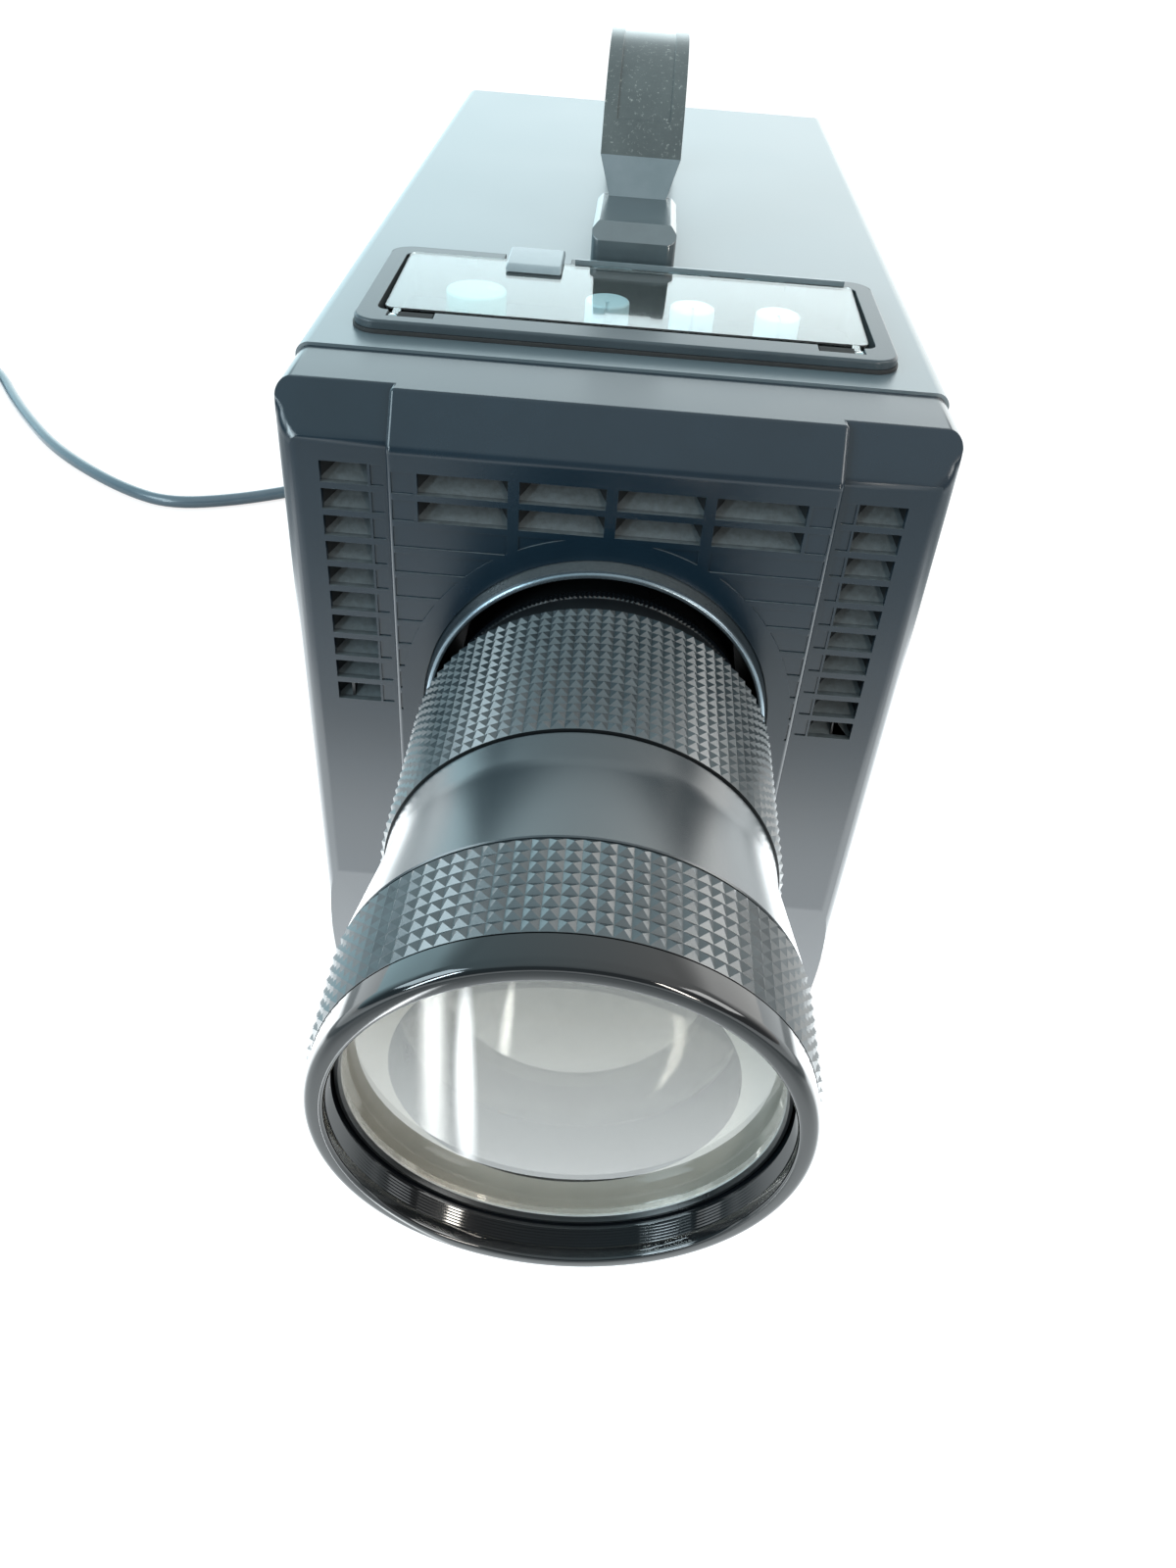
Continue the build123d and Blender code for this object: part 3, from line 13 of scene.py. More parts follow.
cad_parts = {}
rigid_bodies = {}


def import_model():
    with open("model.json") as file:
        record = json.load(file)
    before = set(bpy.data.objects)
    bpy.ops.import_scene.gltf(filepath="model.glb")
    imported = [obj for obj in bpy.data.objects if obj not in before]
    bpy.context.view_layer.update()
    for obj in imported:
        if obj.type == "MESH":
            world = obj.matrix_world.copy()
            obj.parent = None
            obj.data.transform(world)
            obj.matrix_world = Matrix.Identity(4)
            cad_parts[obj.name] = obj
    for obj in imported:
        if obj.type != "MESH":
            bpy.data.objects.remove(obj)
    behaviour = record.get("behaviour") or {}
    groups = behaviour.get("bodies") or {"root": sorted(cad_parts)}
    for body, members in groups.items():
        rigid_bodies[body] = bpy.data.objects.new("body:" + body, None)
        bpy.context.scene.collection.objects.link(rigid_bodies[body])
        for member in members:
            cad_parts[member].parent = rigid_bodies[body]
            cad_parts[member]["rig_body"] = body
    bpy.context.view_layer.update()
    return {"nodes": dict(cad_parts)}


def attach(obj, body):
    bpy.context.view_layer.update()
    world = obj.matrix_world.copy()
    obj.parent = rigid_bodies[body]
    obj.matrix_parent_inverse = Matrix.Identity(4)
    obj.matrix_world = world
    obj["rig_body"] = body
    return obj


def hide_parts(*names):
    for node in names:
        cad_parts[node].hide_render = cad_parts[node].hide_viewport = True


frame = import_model()

# Driving sizes, shared with the drawing
FACE = -150.5
TOP = 295.0
LENS_Z = 183.0
CORD_R = 4.5
CORD_Z = 4.6
LENS_STEPS = 192


def mm(*values):
    """A point or length in millimetres, in metres."""
    return Vector(values) / 1000 if len(values) > 1 else values[0] / 1000


# The camera of the photograph, with the object in the middle of a tall frame
CAMERA_PLACE = (0.24, -503.06, 440.69)
CAMERA_TURNS = ((0.093, "Z"), (50.074, "X"), (4.665, "Z"))
CAMERA_LENS = 27.13
camera_turn = Matrix()
for angle, axis in CAMERA_TURNS:
    camera_turn @= Matrix.Rotation(radians(angle), 4, axis)
bpy.ops.object.camera_add(location=mm(*CAMERA_PLACE), rotation=camera_turn.to_euler())
camera = bpy.context.object
camera.name = "camera"
camera.data.lens = CAMERA_LENS
camera.data.sensor_width = 36
camera.data.clip_start = 0.01
bpy.context.scene.camera = camera


# Mains lead: one smooth curve from the gland to the plug
LEAD_ROUTE = [
    (-75, 368, 48), (-75, 395, 48), (-84, 423, 38), (-110, 441, 24), (-144, 438, 11),
    (-178, 414, CORD_Z), (-211, 379, CORD_Z), (-249, 348.5, CORD_Z), (-294, 323, CORD_Z),
    (-338, 310.5, CORD_Z), (-376, 326, CORD_Z), (-420, 356.5, CORD_Z), (-460, 391.5, CORD_Z),
    (-496, 434, CORD_Z), (-530, 479, CORD_Z), (-559, 523, CORD_Z), (-595, 560.5, CORD_Z),
]
COIL_R = 60.0
COIL_PITCH = 9.8
# Turns that the coil winds inward before it climbs, that the climb takes, and in all
IN_TURNS = 1.75
CLIMB = 0.5
TURNS = 4.0
POINTS_PER_TURN = 20
lead_end = Vector(LEAD_ROUTE[-1])
lead_way = (lead_end - Vector(LEAD_ROUTE[-2])).normalized()
coil_start = lead_end + lead_way * 2 * CORD_R
coil_centre = coil_start + Vector((-lead_way.y, lead_way.x, 0)) * COIL_R


def coil_point(turn):
    """Point on the coil's middle line, a number of turns after its start."""
    climbed = min(max((turn - IN_TURNS) / CLIMB, 0), 1)
    radius = COIL_R - COIL_PITCH * min(turn, IN_TURNS)
    radius -= COIL_PITCH * CLIMB * climbed * (1 - climbed)
    radius += COIL_PITCH * max(0, turn - IN_TURNS - CLIMB)
    height = COIL_PITCH * (3 * climbed ** 2 - 2 * climbed ** 3)
    arm = (coil_start - coil_centre).normalized()
    arm.rotate(Matrix.Rotation(2 * pi * turn, 3, "Z"))
    return coil_centre + arm * radius + Vector((0, 0, height))


coil_turns = [coil_point(n / POINTS_PER_TURN) for n in range(int(TURNS * POINTS_PER_TURN) + 1)]
end_way = (coil_point(TURNS) - coil_point(TURNS - 0.002))
end_way = Vector((end_way.x, end_way.y, 0)).normalized()
tail = coil_turns[-1] + end_way * 2 * CORD_R
aside = Vector((end_way.y, -end_way.x, 0))
route = [Vector(p) for p in LEAD_ROUTE] + coil_turns
route += [tail, tail + end_way * 26, tail + end_way * 52 + aside * 5]

curve = bpy.data.curves.new("mains_lead", "CURVE")
curve.dimensions = "3D"
spline = curve.splines.new("NURBS")
spline.points.add(len(route) - 1)
for point, place in zip(spline.points, route):
    point.co = (*mm(*place), 1)
spline.order_u = 3
spline.use_endpoint_u = True
spline.resolution_u = 6
curve.bevel_depth = mm(CORD_R)
curve.bevel_resolution = 5
lead = bpy.data.objects.new("mains_lead", curve)
bpy.context.collection.objects.link(lead)
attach(lead, "projector")
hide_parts("power_cord", "cord_coil", "cord_tail")


# Materials
def colour(hex_code):
    """An sRGB hex colour as linear red, green, blue and alpha."""
    parts = [int(hex_code[i:i + 2], 16) / 255 for i in (1, 3, 5)]
    return [p / 12.92 if p <= 0.04045 else ((p + 0.055) / 1.055) ** 2.4 for p in parts] + [1]


def add_node(owner, kind, settings=(), links=()):
    """Adds a node, sets its inputs or properties, and links (output, input name) pairs into it."""
    node = owner.node_tree.nodes.new(kind)
    for name, value in dict(settings).items():
        if isinstance(name, int) or name in node.inputs:
            node.inputs[name].default_value = value
        else:
            setattr(node, name, value)
    for output, name in links:
        owner.node_tree.links.new(output, node.inputs[name])
    return node


def combined(owner, operation, first, second):
    """Two values of a node tree put together by a sum; either may be a plain number."""
    node = add_node(owner, "ShaderNodeMath", {"operation": operation})
    for index, value in enumerate((first, second)):
        if isinstance(value, float):
            node.inputs[index].default_value = value
        else:
            owner.node_tree.links.new(value, node.inputs[index])
    return node.outputs["Value"]


def eased_band(owner, value, low, high, start, end):
    """A strength that eases from one number to another while a value goes from low to high."""
    return add_node(owner, "ShaderNodeMapRange",
                    {"interpolation_type": "SMOOTHSTEP", "From Min": low, "From Max": high,
                     "To Min": start, "To Max": end}, [(value, "Value")]).outputs["Result"]


def new_material(name, **settings):
    """A material with a Principled shader whose sockets are set by keyword, spaces as underscores."""
    material = bpy.data.materials.new(name)
    material.use_nodes = True
    shader = material.node_tree.nodes["Principled BSDF"]
    for socket, value in settings.items():
        shader.inputs[socket.replace("_", " ")].default_value = value
    return material, shader


def grained(name, dark, pale, patch_mm, grain_mm, bump, rough, rough_spread=0.08, **settings):
    """A finish that varies between two colours in soft patches, over a fine bump of grain."""
    material, shader = new_material(name, **settings)
    links = material.node_tree.links
    place = add_node(material, "ShaderNodeTexCoord").outputs["Object"]
    patches = add_node(material, "ShaderNodeTexNoise",
                       {"Scale": 1000 / patch_mm, "Detail": 6, "Roughness": 0.62}, [(place, "Vector")])
    spread = add_node(material, "ShaderNodeMapRange",
                      {"From Min": 0.3, "From Max": 0.7}, [(patches.outputs["Fac"], "Value")])
    tint = add_node(material, "ShaderNodeMix", {"data_type": "RGBA", 6: colour(dark), 7: colour(pale)},
                    [(spread.outputs["Result"], "Factor")])
    links.new(tint.outputs[2], shader.inputs["Base Color"])
    gloss = add_node(material, "ShaderNodeMapRange",
                     {"To Min": rough - rough_spread, "To Max": rough + rough_spread},
                     [(patches.outputs["Fac"], "Value")])
    links.new(gloss.outputs["Result"], shader.inputs["Roughness"])
    grain = add_node(material, "ShaderNodeTexNoise",
                     {"Scale": 1000 / grain_mm, "Detail": 2}, [(place, "Vector")])
    relief = add_node(material, "ShaderNodeBump", {"Strength": bump, "Distance": 0.0002},
                      [(grain.outputs["Fac"], "Height")])
    links.new(relief.outputs["Normal"], shader.inputs["Normal"])
    return material


def dusted(material, dust_hex, low, high, amount, speck_mm=2.5, dust_rough=0.85,
           specks_cut=(0.35, 0.65, 0.55)):
    """Lays dust on a finish where its surface faces up, thinner between its specks by the cut."""
    nodes = material.node_tree.nodes
    links = material.node_tree.links
    shader = nodes["Principled BSDF"]
    place = add_node(material, "ShaderNodeTexCoord")
    normal = add_node(material, "ShaderNodeSeparateXYZ", (), [(place.outputs["Normal"], "Vector")])
    upward = add_node(material, "ShaderNodeMapRange",
                      {"From Min": low, "From Max": high, "To Max": amount},
                      [(normal.outputs["Z"], "Value")])
    specks = add_node(material, "ShaderNodeTexNoise",
                      {"Scale": 1000 / speck_mm, "Detail": 8, "Roughness": 0.7},
                      [(place.outputs["Object"], "Vector")])
    spread = add_node(material, "ShaderNodeMapRange",
                      {"From Min": specks_cut[0], "From Max": specks_cut[1], "To Min": specks_cut[2]},
                      [(specks.outputs["Fac"], "Value")])
    cover = combined(material, "MULTIPLY", upward.outputs["Result"], spread.outputs["Result"])
    for socket, dust in (("Base Color", colour(dust_hex)), ("Roughness", [dust_rough] * 3 + [1])):
        link = shader.inputs[socket].links[0]
        mixed = add_node(material, "ShaderNodeMix", {"data_type": "RGBA", 7: dust},
                         [(link.from_socket, 6), (cover, "Factor")])
        links.new(mixed.outputs[2], shader.inputs[socket])
    return material


def clear(name, hex_code, **settings):
    """A clear finish that lets lamplight and soft light through to what lies behind it."""
    material, shader = new_material(name, Base_Color=colour(hex_code), **settings)
    ray_kind = add_node(material, "ShaderNodeLightPath")
    passed = combined(material, "MAXIMUM", ray_kind.outputs["Is Shadow Ray"],
                      ray_kind.outputs["Is Diffuse Ray"])
    through = add_node(material, "ShaderNodeBsdfTransparent", {"Color": colour(hex_code)})
    either = add_node(material, "ShaderNodeMixShader", (),
                      [(passed, 0), (shader.outputs["BSDF"], 1), (through.outputs["BSDF"], 2)])
    surface = material.node_tree.nodes["Material Output"].inputs["Surface"]
    material.node_tree.links.new(either.outputs["Shader"], surface)
    return material


# Polyester enamel on folded steel, sprayed to a fine satin texture
cover_enamel = grained("cover_enamel", "#465359", "#4C5A60", 60, 1.2, 0.03, 0.35, 0.02, IOR=2.1)
# Moulded ABS with a fine spark-eroded texture
bezel_abs = grained("bezel_abs", "#0C1B25", "#11212C", 45, 1.1, 0.05, 0.22, 0.03, IOR=1.5)
# Edges of the same plastic, painted pale as a highlight along them
edge_highlight_abs = grained("edge_highlight_abs", "#545F66", "#707D85", 6, 1.0, 0.02, 0.2, 0.03, IOR=1.7)
# The same plastic behind the windows, grey with years of dust
dusty_abs = dusted(grained("dusty_abs", "#17191B", "#211E1E", 9, 1.0, 0.4, 0.5),
                   "#50585B", 0.35, 0.6, 0.85)
# Anodised aluminium, black and satin
black_anodised = grained("black_anodised", "#0E1012", "#15181A", 30, 2.0, 0.01, 0.3)
# Satin black ring round the lens, with dust caught on its top
collar_enamel = dusted(grained("collar_enamel", "#1B2328", "#232B30", 20, 0.8, 0.04, 0.2, 0.04, IOR=1.6),
                       "#7C8080", 0.6, 1.0, 0.3, 0.9)
# The collar's rounded rim, pale and metallic: a painted highlight along it
collar_rim_highlight = grained("collar_rim_highlight", "#6D7A83", "#7B878F", 8, 0.8, 0.02, 0.24, 0.04, Metallic=0.8)
# Gloss black lacquer of the focus ring's lip
lip_lacquer = grained("lip_lacquer", "#0A0C0F", "#0E1114", 30, 2.0, 0.01, 0.07, 0.02, IOR=1.6)
# Baked black enamel on the lens barrel, smooth and glossy
barrel_enamel = grained("barrel_enamel", "#262D31", "#2B3236", 50, 1.5, 0.02, 0.25, 0.03, IOR=1.65)
# Moulded nitrile rubber, in soft patches of two greys
grip_rubber = grained("grip_rubber", "#252D31", "#333C40", 7, 0.7, 0.06, 0.29, 0.05, IOR=1.78)
# Satin ABS of the control frame
frame_abs = grained("frame_abs", "#2D363B", "#363F44", 40, 1.0, 0.08, 0.34, 0.03, IOR=1.42)
# A dark matt finish, painted shade: inside the control frame, on the top of its rear rail, and on the
# louvres' cheeks
painted_shade_matt = grained("painted_shade_matt", "#15181A", "#1C2022", 20, 1.0, 0.08, 0.7, IOR=1.3)
# Polished plastic of the handle's feet
foot_gloss = grained("foot_gloss", "#3A4448", "#444F53", 30, 1.6, 0.03, 0.24, 0.03, IOR=2.0)
# Flat faces of the handle's necks, smoother than the bow and painted lighter as a sheen on them, and the
# strip behind the lid
neck_sheen_vinyl = grained("neck_sheen_vinyl", "#5A666A", "#656F74", 18, 1.0, 0.03, 0.24, 0.04, IOR=1.7)
# Soft vinyl of the handle bow
bow_vinyl = dusted(grained("bow_vinyl", "#333A3B", "#434A4A", 18, 0.8, 0.15, 0.3, 0.06, IOR=1.6),
                   "#A9AEA8", -0.2, 0.7, 0.7, 1.6, 0.6, (0.58, 0.72, 0))
# Plasticised vinyl of the lead, strain relief and plug
lead_vinyl = grained("lead_vinyl", "#465660", "#50606A", 30, 1.2, 0.05, 0.3, 0.04, IOR=1.7)
# Moulded knobs in light blue-grey ABS
knob_abs = grained("knob_abs", "#B4C4CB", "#BECDD3", 8, 0.8, 0.05, 0.35)
# Teal button cap
button_abs = grained("button_abs", "#37807A", "#418A84", 8, 0.8, 0.05, 0.25)
# Grey tab moulded in the lid's colour family
tab_abs = grained("tab_abs", "#727D82", "#7C878B", 14, 0.9, 0.04, 0.24, 0.03, IOR=1.5)
# Black acetal of the hinge blocks and switches
hinge_acetal = grained("hinge_acetal", "#0B0C0D", "#101112", 6, 0.9, 0.1, 0.7, IOR=1.3)
# Zinc-plated sheet
zinc_sheet = grained("zinc_sheet", "#A9ACAA", "#BDBFBC", 20, 1.2, 0.15, 0.38, Metallic=1)
# Plated screws and sockets
plated_steel = grained("plated_steel", "#B4B6B8", "#C6C8CA", 5, 1.0, 0.05, 0.22, Metallic=1)
# Rolled brass of the plug's pins
pin_brass = grained("pin_brass", "#B89A55", "#C9AD6A", 6, 1.0, 0.05, 0.25, Metallic=1)
# Natural rubber feet and gasket
foot_rubber = grained("foot_rubber", "#141617", "#1C1E1F", 9, 0.9, 0.2, 0.6)
# Light alloy of the glass's seat, left bare
seat_alloy = grained("seat_alloy", "#A9AAA9", "#B4B5B4", 12, 1.0, 0.02, 0.45, Metallic=0.2)
# Cast light alloy inside
cast_alloy = grained("cast_alloy", "#8A8D8F", "#9A9D9F", 12, 1.0, 0.4, 0.5, Metallic=1)
# Green laminate boards
board_laminate = grained("board_laminate", "#1F5A33", "#2A6B3E", 15, 1.0, 0.1, 0.4)
# Steatite lamp base
lamp_steatite = grained("lamp_steatite", "#D9D4C8", "#E4E0D6", 8, 0.8, 0.1, 0.5)
# Clear acrylic of the lid, which lets light reach the knobs below it
lid_acrylic = clear("lid_acrylic", "#EDF6F6", IOR=1.45, Roughness=0.03, Transmission_Weight=1)
# Coated optical glass, which mirrors the pale table more than plain glass would
lens_glass = clear("lens_glass", "#F1EFEA", IOR=1.52, Roughness=0.0, Transmission_Weight=0.98,
                   Coat_Weight=1, Coat_IOR=1.5, Coat_Roughness=0.0)
# Silvered glass
mirror_silver, _ = new_material("mirror_silver", Base_Color=colour("#E8EAEC"), Metallic=1, Roughness=0.03)
# Pale moulded window of the lamp
window_plastic, _ = new_material("window_plastic", Base_Color=colour("#C9CFC8"), Roughness=0.2)


# Limits of the faces and edges that get a finish or a rounding of their own
FACES_UP = 0.9
BROW_END = 101
TOP_BEND = 8
WINDOWS_LOW = 100
WINDOWS_HIGH = 273
WELL_MIDDLE = 98
WELL_HALF = 33
REAR_RAIL = 120
NECK_LOW = 14
NECK_HIGH = 31
COLLAR_RIM = -8.8
SEAT_FRONT = -170.9
SEAT_BACK = -161
SEAT_R = 57.6


# Modelling
def only(obj):
    """Selects one object and makes it the active one."""
    bpy.ops.object.select_all(action="DESELECT")
    obj.select_set(True)
    bpy.context.view_layer.objects.active = obj


def edit(obj):
    """Opens an object in edit mode with everything selected."""
    only(obj)
    bpy.ops.object.mode_set(mode="EDIT")
    bpy.ops.mesh.select_all(action="SELECT")


def close():
    """Leaves edit mode."""
    bpy.ops.object.mode_set(mode="OBJECT")


def modify(obj, kind, **settings):
    """Adds a modifier and applies it."""
    only(obj)
    modifier = obj.modifiers.new(kind.lower(), kind)
    for name, value in settings.items():
        setattr(modifier, name, value)
    bpy.ops.object.modifier_apply(modifier=modifier.name)


def done(obj, name, body, finish, angle=32, replaced=()):
    """Names a finished piece, puts its place in its mesh, and gives it its finish and its body."""
    only(obj)
    bpy.ops.object.transform_apply(location=True, rotation=True, scale=True)
    bpy.ops.object.shade_smooth_by_angle(angle=radians(angle))
    obj.name = name
    obj.data.name = name
    if finish:
        obj.data.materials.clear()
        obj.data.materials.append(finish)
    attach(obj, body)
    if replaced:
        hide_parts(*replaced)
    return obj


def dressed(node, finish, width=0.3, steps=2, edge_finish=None, eased=None):
    """A copy of a drawn part with its facets merged and its edges rounded, which stands for it."""
    source = frame["nodes"][node]
    piece = source.copy()
    piece.data = source.data.copy()
    piece.parent = None
    for key in list(piece.keys()):
        del piece[key]
    bpy.context.collection.objects.link(piece)
    only(piece)
    bpy.ops.mesh.customdata_custom_splitnormals_clear()
    edit(piece)
    bpy.ops.mesh.remove_doubles(threshold=mm(0.002))
    bpy.ops.mesh.dissolve_limited(angle_limit=radians(0.5))
    close()
    if eased:
        ease(piece, *eased)
    piece.data.materials.clear()
    piece.data.materials.append(finish)
    piece.data.materials.append(edge_finish or finish)
    if width:
        modify(piece, "BEVEL", width=mm(width), segments=steps, limit_method="ANGLE",
               angle_limit=radians(30), use_clamp_overlap=True, material=1)
    done(piece, node + "_finish", source["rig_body"], None, replaced=(node,))
    modify(piece, "WEIGHTED_NORMAL", keep_sharp=True, weight=100)
    return piece


def ease(piece, picks, radius, steps=5):
    """Rounds the edges that a test of their middle and their two faces' normals picks."""
    edit(piece)
    bpy.ops.mesh.select_all(action="DESELECT")
    skin = bmesh.from_edit_mesh(piece.data)
    for edge in skin.edges:
        if len(edge.link_faces) == 2:
            middle = (edge.verts[0].co + edge.verts[1].co) / 2
            first, second = (face.normal for face in edge.link_faces)
            edge.select = picks(middle, first, second) or picks(middle, second, first)
    bmesh.update_edit_mesh(piece.data)
    bpy.ops.mesh.bevel(offset=mm(radius), segments=steps, affect="EDGES", clamp_overlap=False)
    close()


def brow_end(middle, first, second):
    """Where the bezel's sloping brow meets its rounded sides, short of the bend at its top."""
    brow = first.z > 0.3 and first.y < -0.3 and abs(first.x) < 0.05
    beside = abs(second.x) > 0.4 and abs(middle.x) > mm(BROW_END)
    return brow and beside and middle.z < mm(TOP - TOP_BEND)


def repaint(piece, finish, picks):
    """Gives another finish to the faces that a test picks."""
    piece.data.materials.append(finish)
    slot = len(piece.data.materials) - 1
    for face in piece.data.polygons:
        if picks(face):
            face.material_index = slot


def window_sill(face):
    """The upward faces of the bezel's louvre windows."""
    in_depth = abs(face.center.y - mm(FACE - 0.8)) < mm(3.5)
    return in_depth and mm(WINDOWS_LOW) < face.center.z < mm(WINDOWS_HIGH) and face.normal.z > FACES_UP


def frame_shade(face):
    """The inside of the control frame, and the top of its rear rail."""
    inside = face.center.z < mm(TOP + 0.5) and abs(face.center.y - mm(FACE + WELL_MIDDLE)) < mm(WELL_HALF)
    return inside or (face.normal.z > FACES_UP and face.center.y > mm(FACE + REAR_RAIL))


def neck_front(face):
    """The flat sloping faces of the handle's necks."""
    height = face.center.z - mm(TOP)
    return mm(NECK_LOW) < height < mm(NECK_HIGH) and face.normal.z > 0.2 and abs(face.normal.x) < 0.2


def rim(face):
    """The rounded front of the lens collar."""
    return face.center.y < mm(FACE + COLLAR_RIM)


def glass_seat(face):
    """The front cell's bore where it holds the front glass."""
    depth = (face.center.y - mm(FACE)) * 1000
    reach = Vector((face.center.x, face.center.z - mm(LENS_Z))).length
    return SEAT_FRONT < depth < SEAT_BACK and reach < mm(SEAT_R)


def lathed(profile, steps=LENS_STEPS, joined=True):
    """A ring turned about the lens axis from (depth, radius) points; joined closes its section."""
    depth, radius = profile[0]
    centre = mm(0, FACE + depth, LENS_Z)
    bpy.ops.object.select_all(action="DESELECT")
    bpy.ops.mesh.primitive_circle_add(vertices=steps, radius=mm(radius), location=centre,
                                      rotation=(pi / 2, 0, 0))
    ring = bpy.context.object
    edit(ring)
    points = profile[1:] + [profile[0]] if joined else profile[1:]
    for next_depth, next_radius in points:
        bpy.ops.mesh.extrude_region_move(
            TRANSFORM_OT_translate={"value": (0, mm(next_depth - depth), 0)})
        centre = mm(0, FACE + next_depth, LENS_Z)
        scale = next_radius / radius
        bpy.ops.transform.resize(value=(scale, 1, scale), center_override=centre)
        depth, radius = next_depth, next_radius
    bpy.ops.mesh.select_all(action="SELECT")
    bpy.ops.mesh.remove_doubles(threshold=mm(0.02))
    bpy.ops.mesh.normals_make_consistent(inside=False)
    close()
    return ring


def arc(depth, radius, bend, start, end, count=5):
    """Points of a rounded corner, from one angle to another in degrees, 0 being outward."""
    turns = [radians(start + (end - start) * n / count) for n in range(count + 1)]
    return [(depth + bend * sin(t), radius + bend * cos(t)) for t in turns]


# Casing
dressed("top_cover", cover_enamel, 0.25)
# The bezel's rounded edges take the pale finish, a painted highlight; its window sills take dust.
repaint(dressed("front_bezel", bezel_abs, 0.35, 2, edge_highlight_abs, (brow_end, 3)), dusty_abs, window_sill)
dressed("louvre_columns", dusty_abs, 0.2)
dressed("louvre_wide", dusty_abs, 0.2)
dressed("rear_panel", bezel_abs, 0.3)
dressed("base_chassis", zinc_sheet, 0.3)
dressed("front_bulkhead", zinc_sheet, 0)
dressed("rubber_feet", foot_rubber, 0.6)
dressed("tray_gasket", foot_rubber, 0.3)
# The frame's inside and the top of its rear rail are painted darker, as shade.
repaint(dressed("control_tray", frame_abs, 0.35), painted_shade_matt, frame_shade)
dressed("hinge_blocks", hinge_acetal, 0.3)
dressed("lamp_window", window_plastic, 0.3)
dressed("clear_lid", lid_acrylic, 0.2)
dressed("lid_tab", tab_abs, 0.8, 3)
dressed("handle_feet", foot_gloss, 0.5)
# The necks' flat faces are painted lighter, as a sheen.
repaint(dressed("handle_strap", bow_vinyl, 0.5, 3), neck_sheen_vinyl, neck_front)
dressed("power_button", button_abs, 0.2)
for number in (1, 2, 3):
    dressed(f"knob_{number}", knob_abs, 0.2)
for node, finish in (
    ("signal_sockets", plated_steel), ("foot_screws", plated_steel), ("case_screws", plated_steel),
    ("flange_screws", plated_steel), ("handle_screws", plated_steel), ("hinge_pins", plated_steel),
    ("control_switchgear", hinge_acetal), ("control_board", board_laminate),
    ("lens_tube", black_anodised), ("zoom_cell", black_anodised), ("optics_base", cast_alloy),
    ("prism_block", lens_glass),
    ("display_panels", lens_glass), ("mirrors", mirror_silver), ("heat_filter", lens_glass),
    ("lamp_housing", cast_alloy), ("lamp_reflector", mirror_silver), ("lamp_holder", lamp_steatite),
    ("lamp_bulb", lens_glass), ("fan_frame", hinge_acetal), ("fan_rotor", hinge_acetal),
    ("power_supply", zinc_sheet), ("main_board", board_laminate), ("cord_gland", lead_vinyl),
    ("plug", lead_vinyl), ("plug_pins", pin_brass),
):
    dressed(node, finish, 0)
lead.data.materials.append(lead_vinyl)


# Louvre cheeks: dark wedges at both ends of a window, between which its slat narrows to the rear; they
# stand for the comb's cheeks and for the shadow these cast on the slat, so they are partly painted shade
ROW_TOP = 23.6
ROW_PITCH = 9.62
WINDOW_HEIGHT = 7.4
SLAT_RUN = 9.0
COLUMN = (79.4, 95.1)
WIDE = ((1.85, 29.85), (33.55, 62.8))
# How far a cheek reaches past its window: sideways, down and up from the sill
CHEEK_LAP = 0.8
CHEEK_LOW = 0.5
CHEEK_HIGH = 8.9


def wedges(name, spans, start, rows, left_run, right_run):
    """Three-sided wedges behind the windows that lie between pairs of X places."""
    points = []
    for row in range(rows):
        sill = TOP - ROW_TOP - row * ROW_PITCH - WINDOW_HEIGHT
        for low, high in spans:
            for end, run in ((low - CHEEK_LAP, left_run), (high + CHEEK_LAP, -right_run)):
                plan = [(end, start), (end, start + SLAT_RUN), (end + run, start + SLAT_RUN)]
                for height in (sill - CHEEK_LOW, sill + CHEEK_HIGH):
                    points += [mm(x, FACE + back, height) for x, back in plan]
    sides = [(0, 2, 1), (3, 4, 5), (0, 1, 4, 3), (1, 2, 5, 4), (2, 0, 3, 5)]
    faces = [[first + corner for corner in side]
             for first in range(0, len(points), 6) for side in sides]
    mesh = bpy.data.meshes.new(name)
    mesh.from_pydata(points, [], faces)
    piece = bpy.data.objects.new(name, mesh)
    bpy.context.collection.objects.link(piece)
    edit(piece)
    bpy.ops.mesh.normals_make_consistent(inside=False)
    close()
    return done(piece, name, "projector", painted_shade_matt)


# Dark wedges: the combs' cheeks, with painted shade for the shadow they cast.
wedges("column_cheeks_shade", [(-COLUMN[1], -COLUMN[0]), COLUMN], 2.6, 10, 9.5, 5)
wedges("wide_cheeks_shade", [(-high, -low) for low, high in WIDE] + list(WIDE), -1.4, 2, 8.5, 7)

# Strip that stands along the frame behind the clear lid, from the tab to the right-hand end
STRIP_SIZE = (105, 1.2, 2.6)
bpy.ops.object.select_all(action="DESELECT")
bpy.ops.mesh.primitive_cube_add(size=1, location=mm(30.5, FACE + 130, TOP + 5.2))
strip = bpy.context.object
strip.scale = mm(*STRIP_SIZE)
edit(strip)
bpy.ops.mesh.bevel(offset=mm(0.3), segments=2, affect="EDGES")
close()
done(strip, "lid_strip", "projector", neck_sheen_vinyl)


# Lens, each ring as the (depth, radius) points of its section
TEETH = 420
TEETH_ROOT = 54.3
THREAD_TURNS = 7
THREAD_PITCH = 0.9


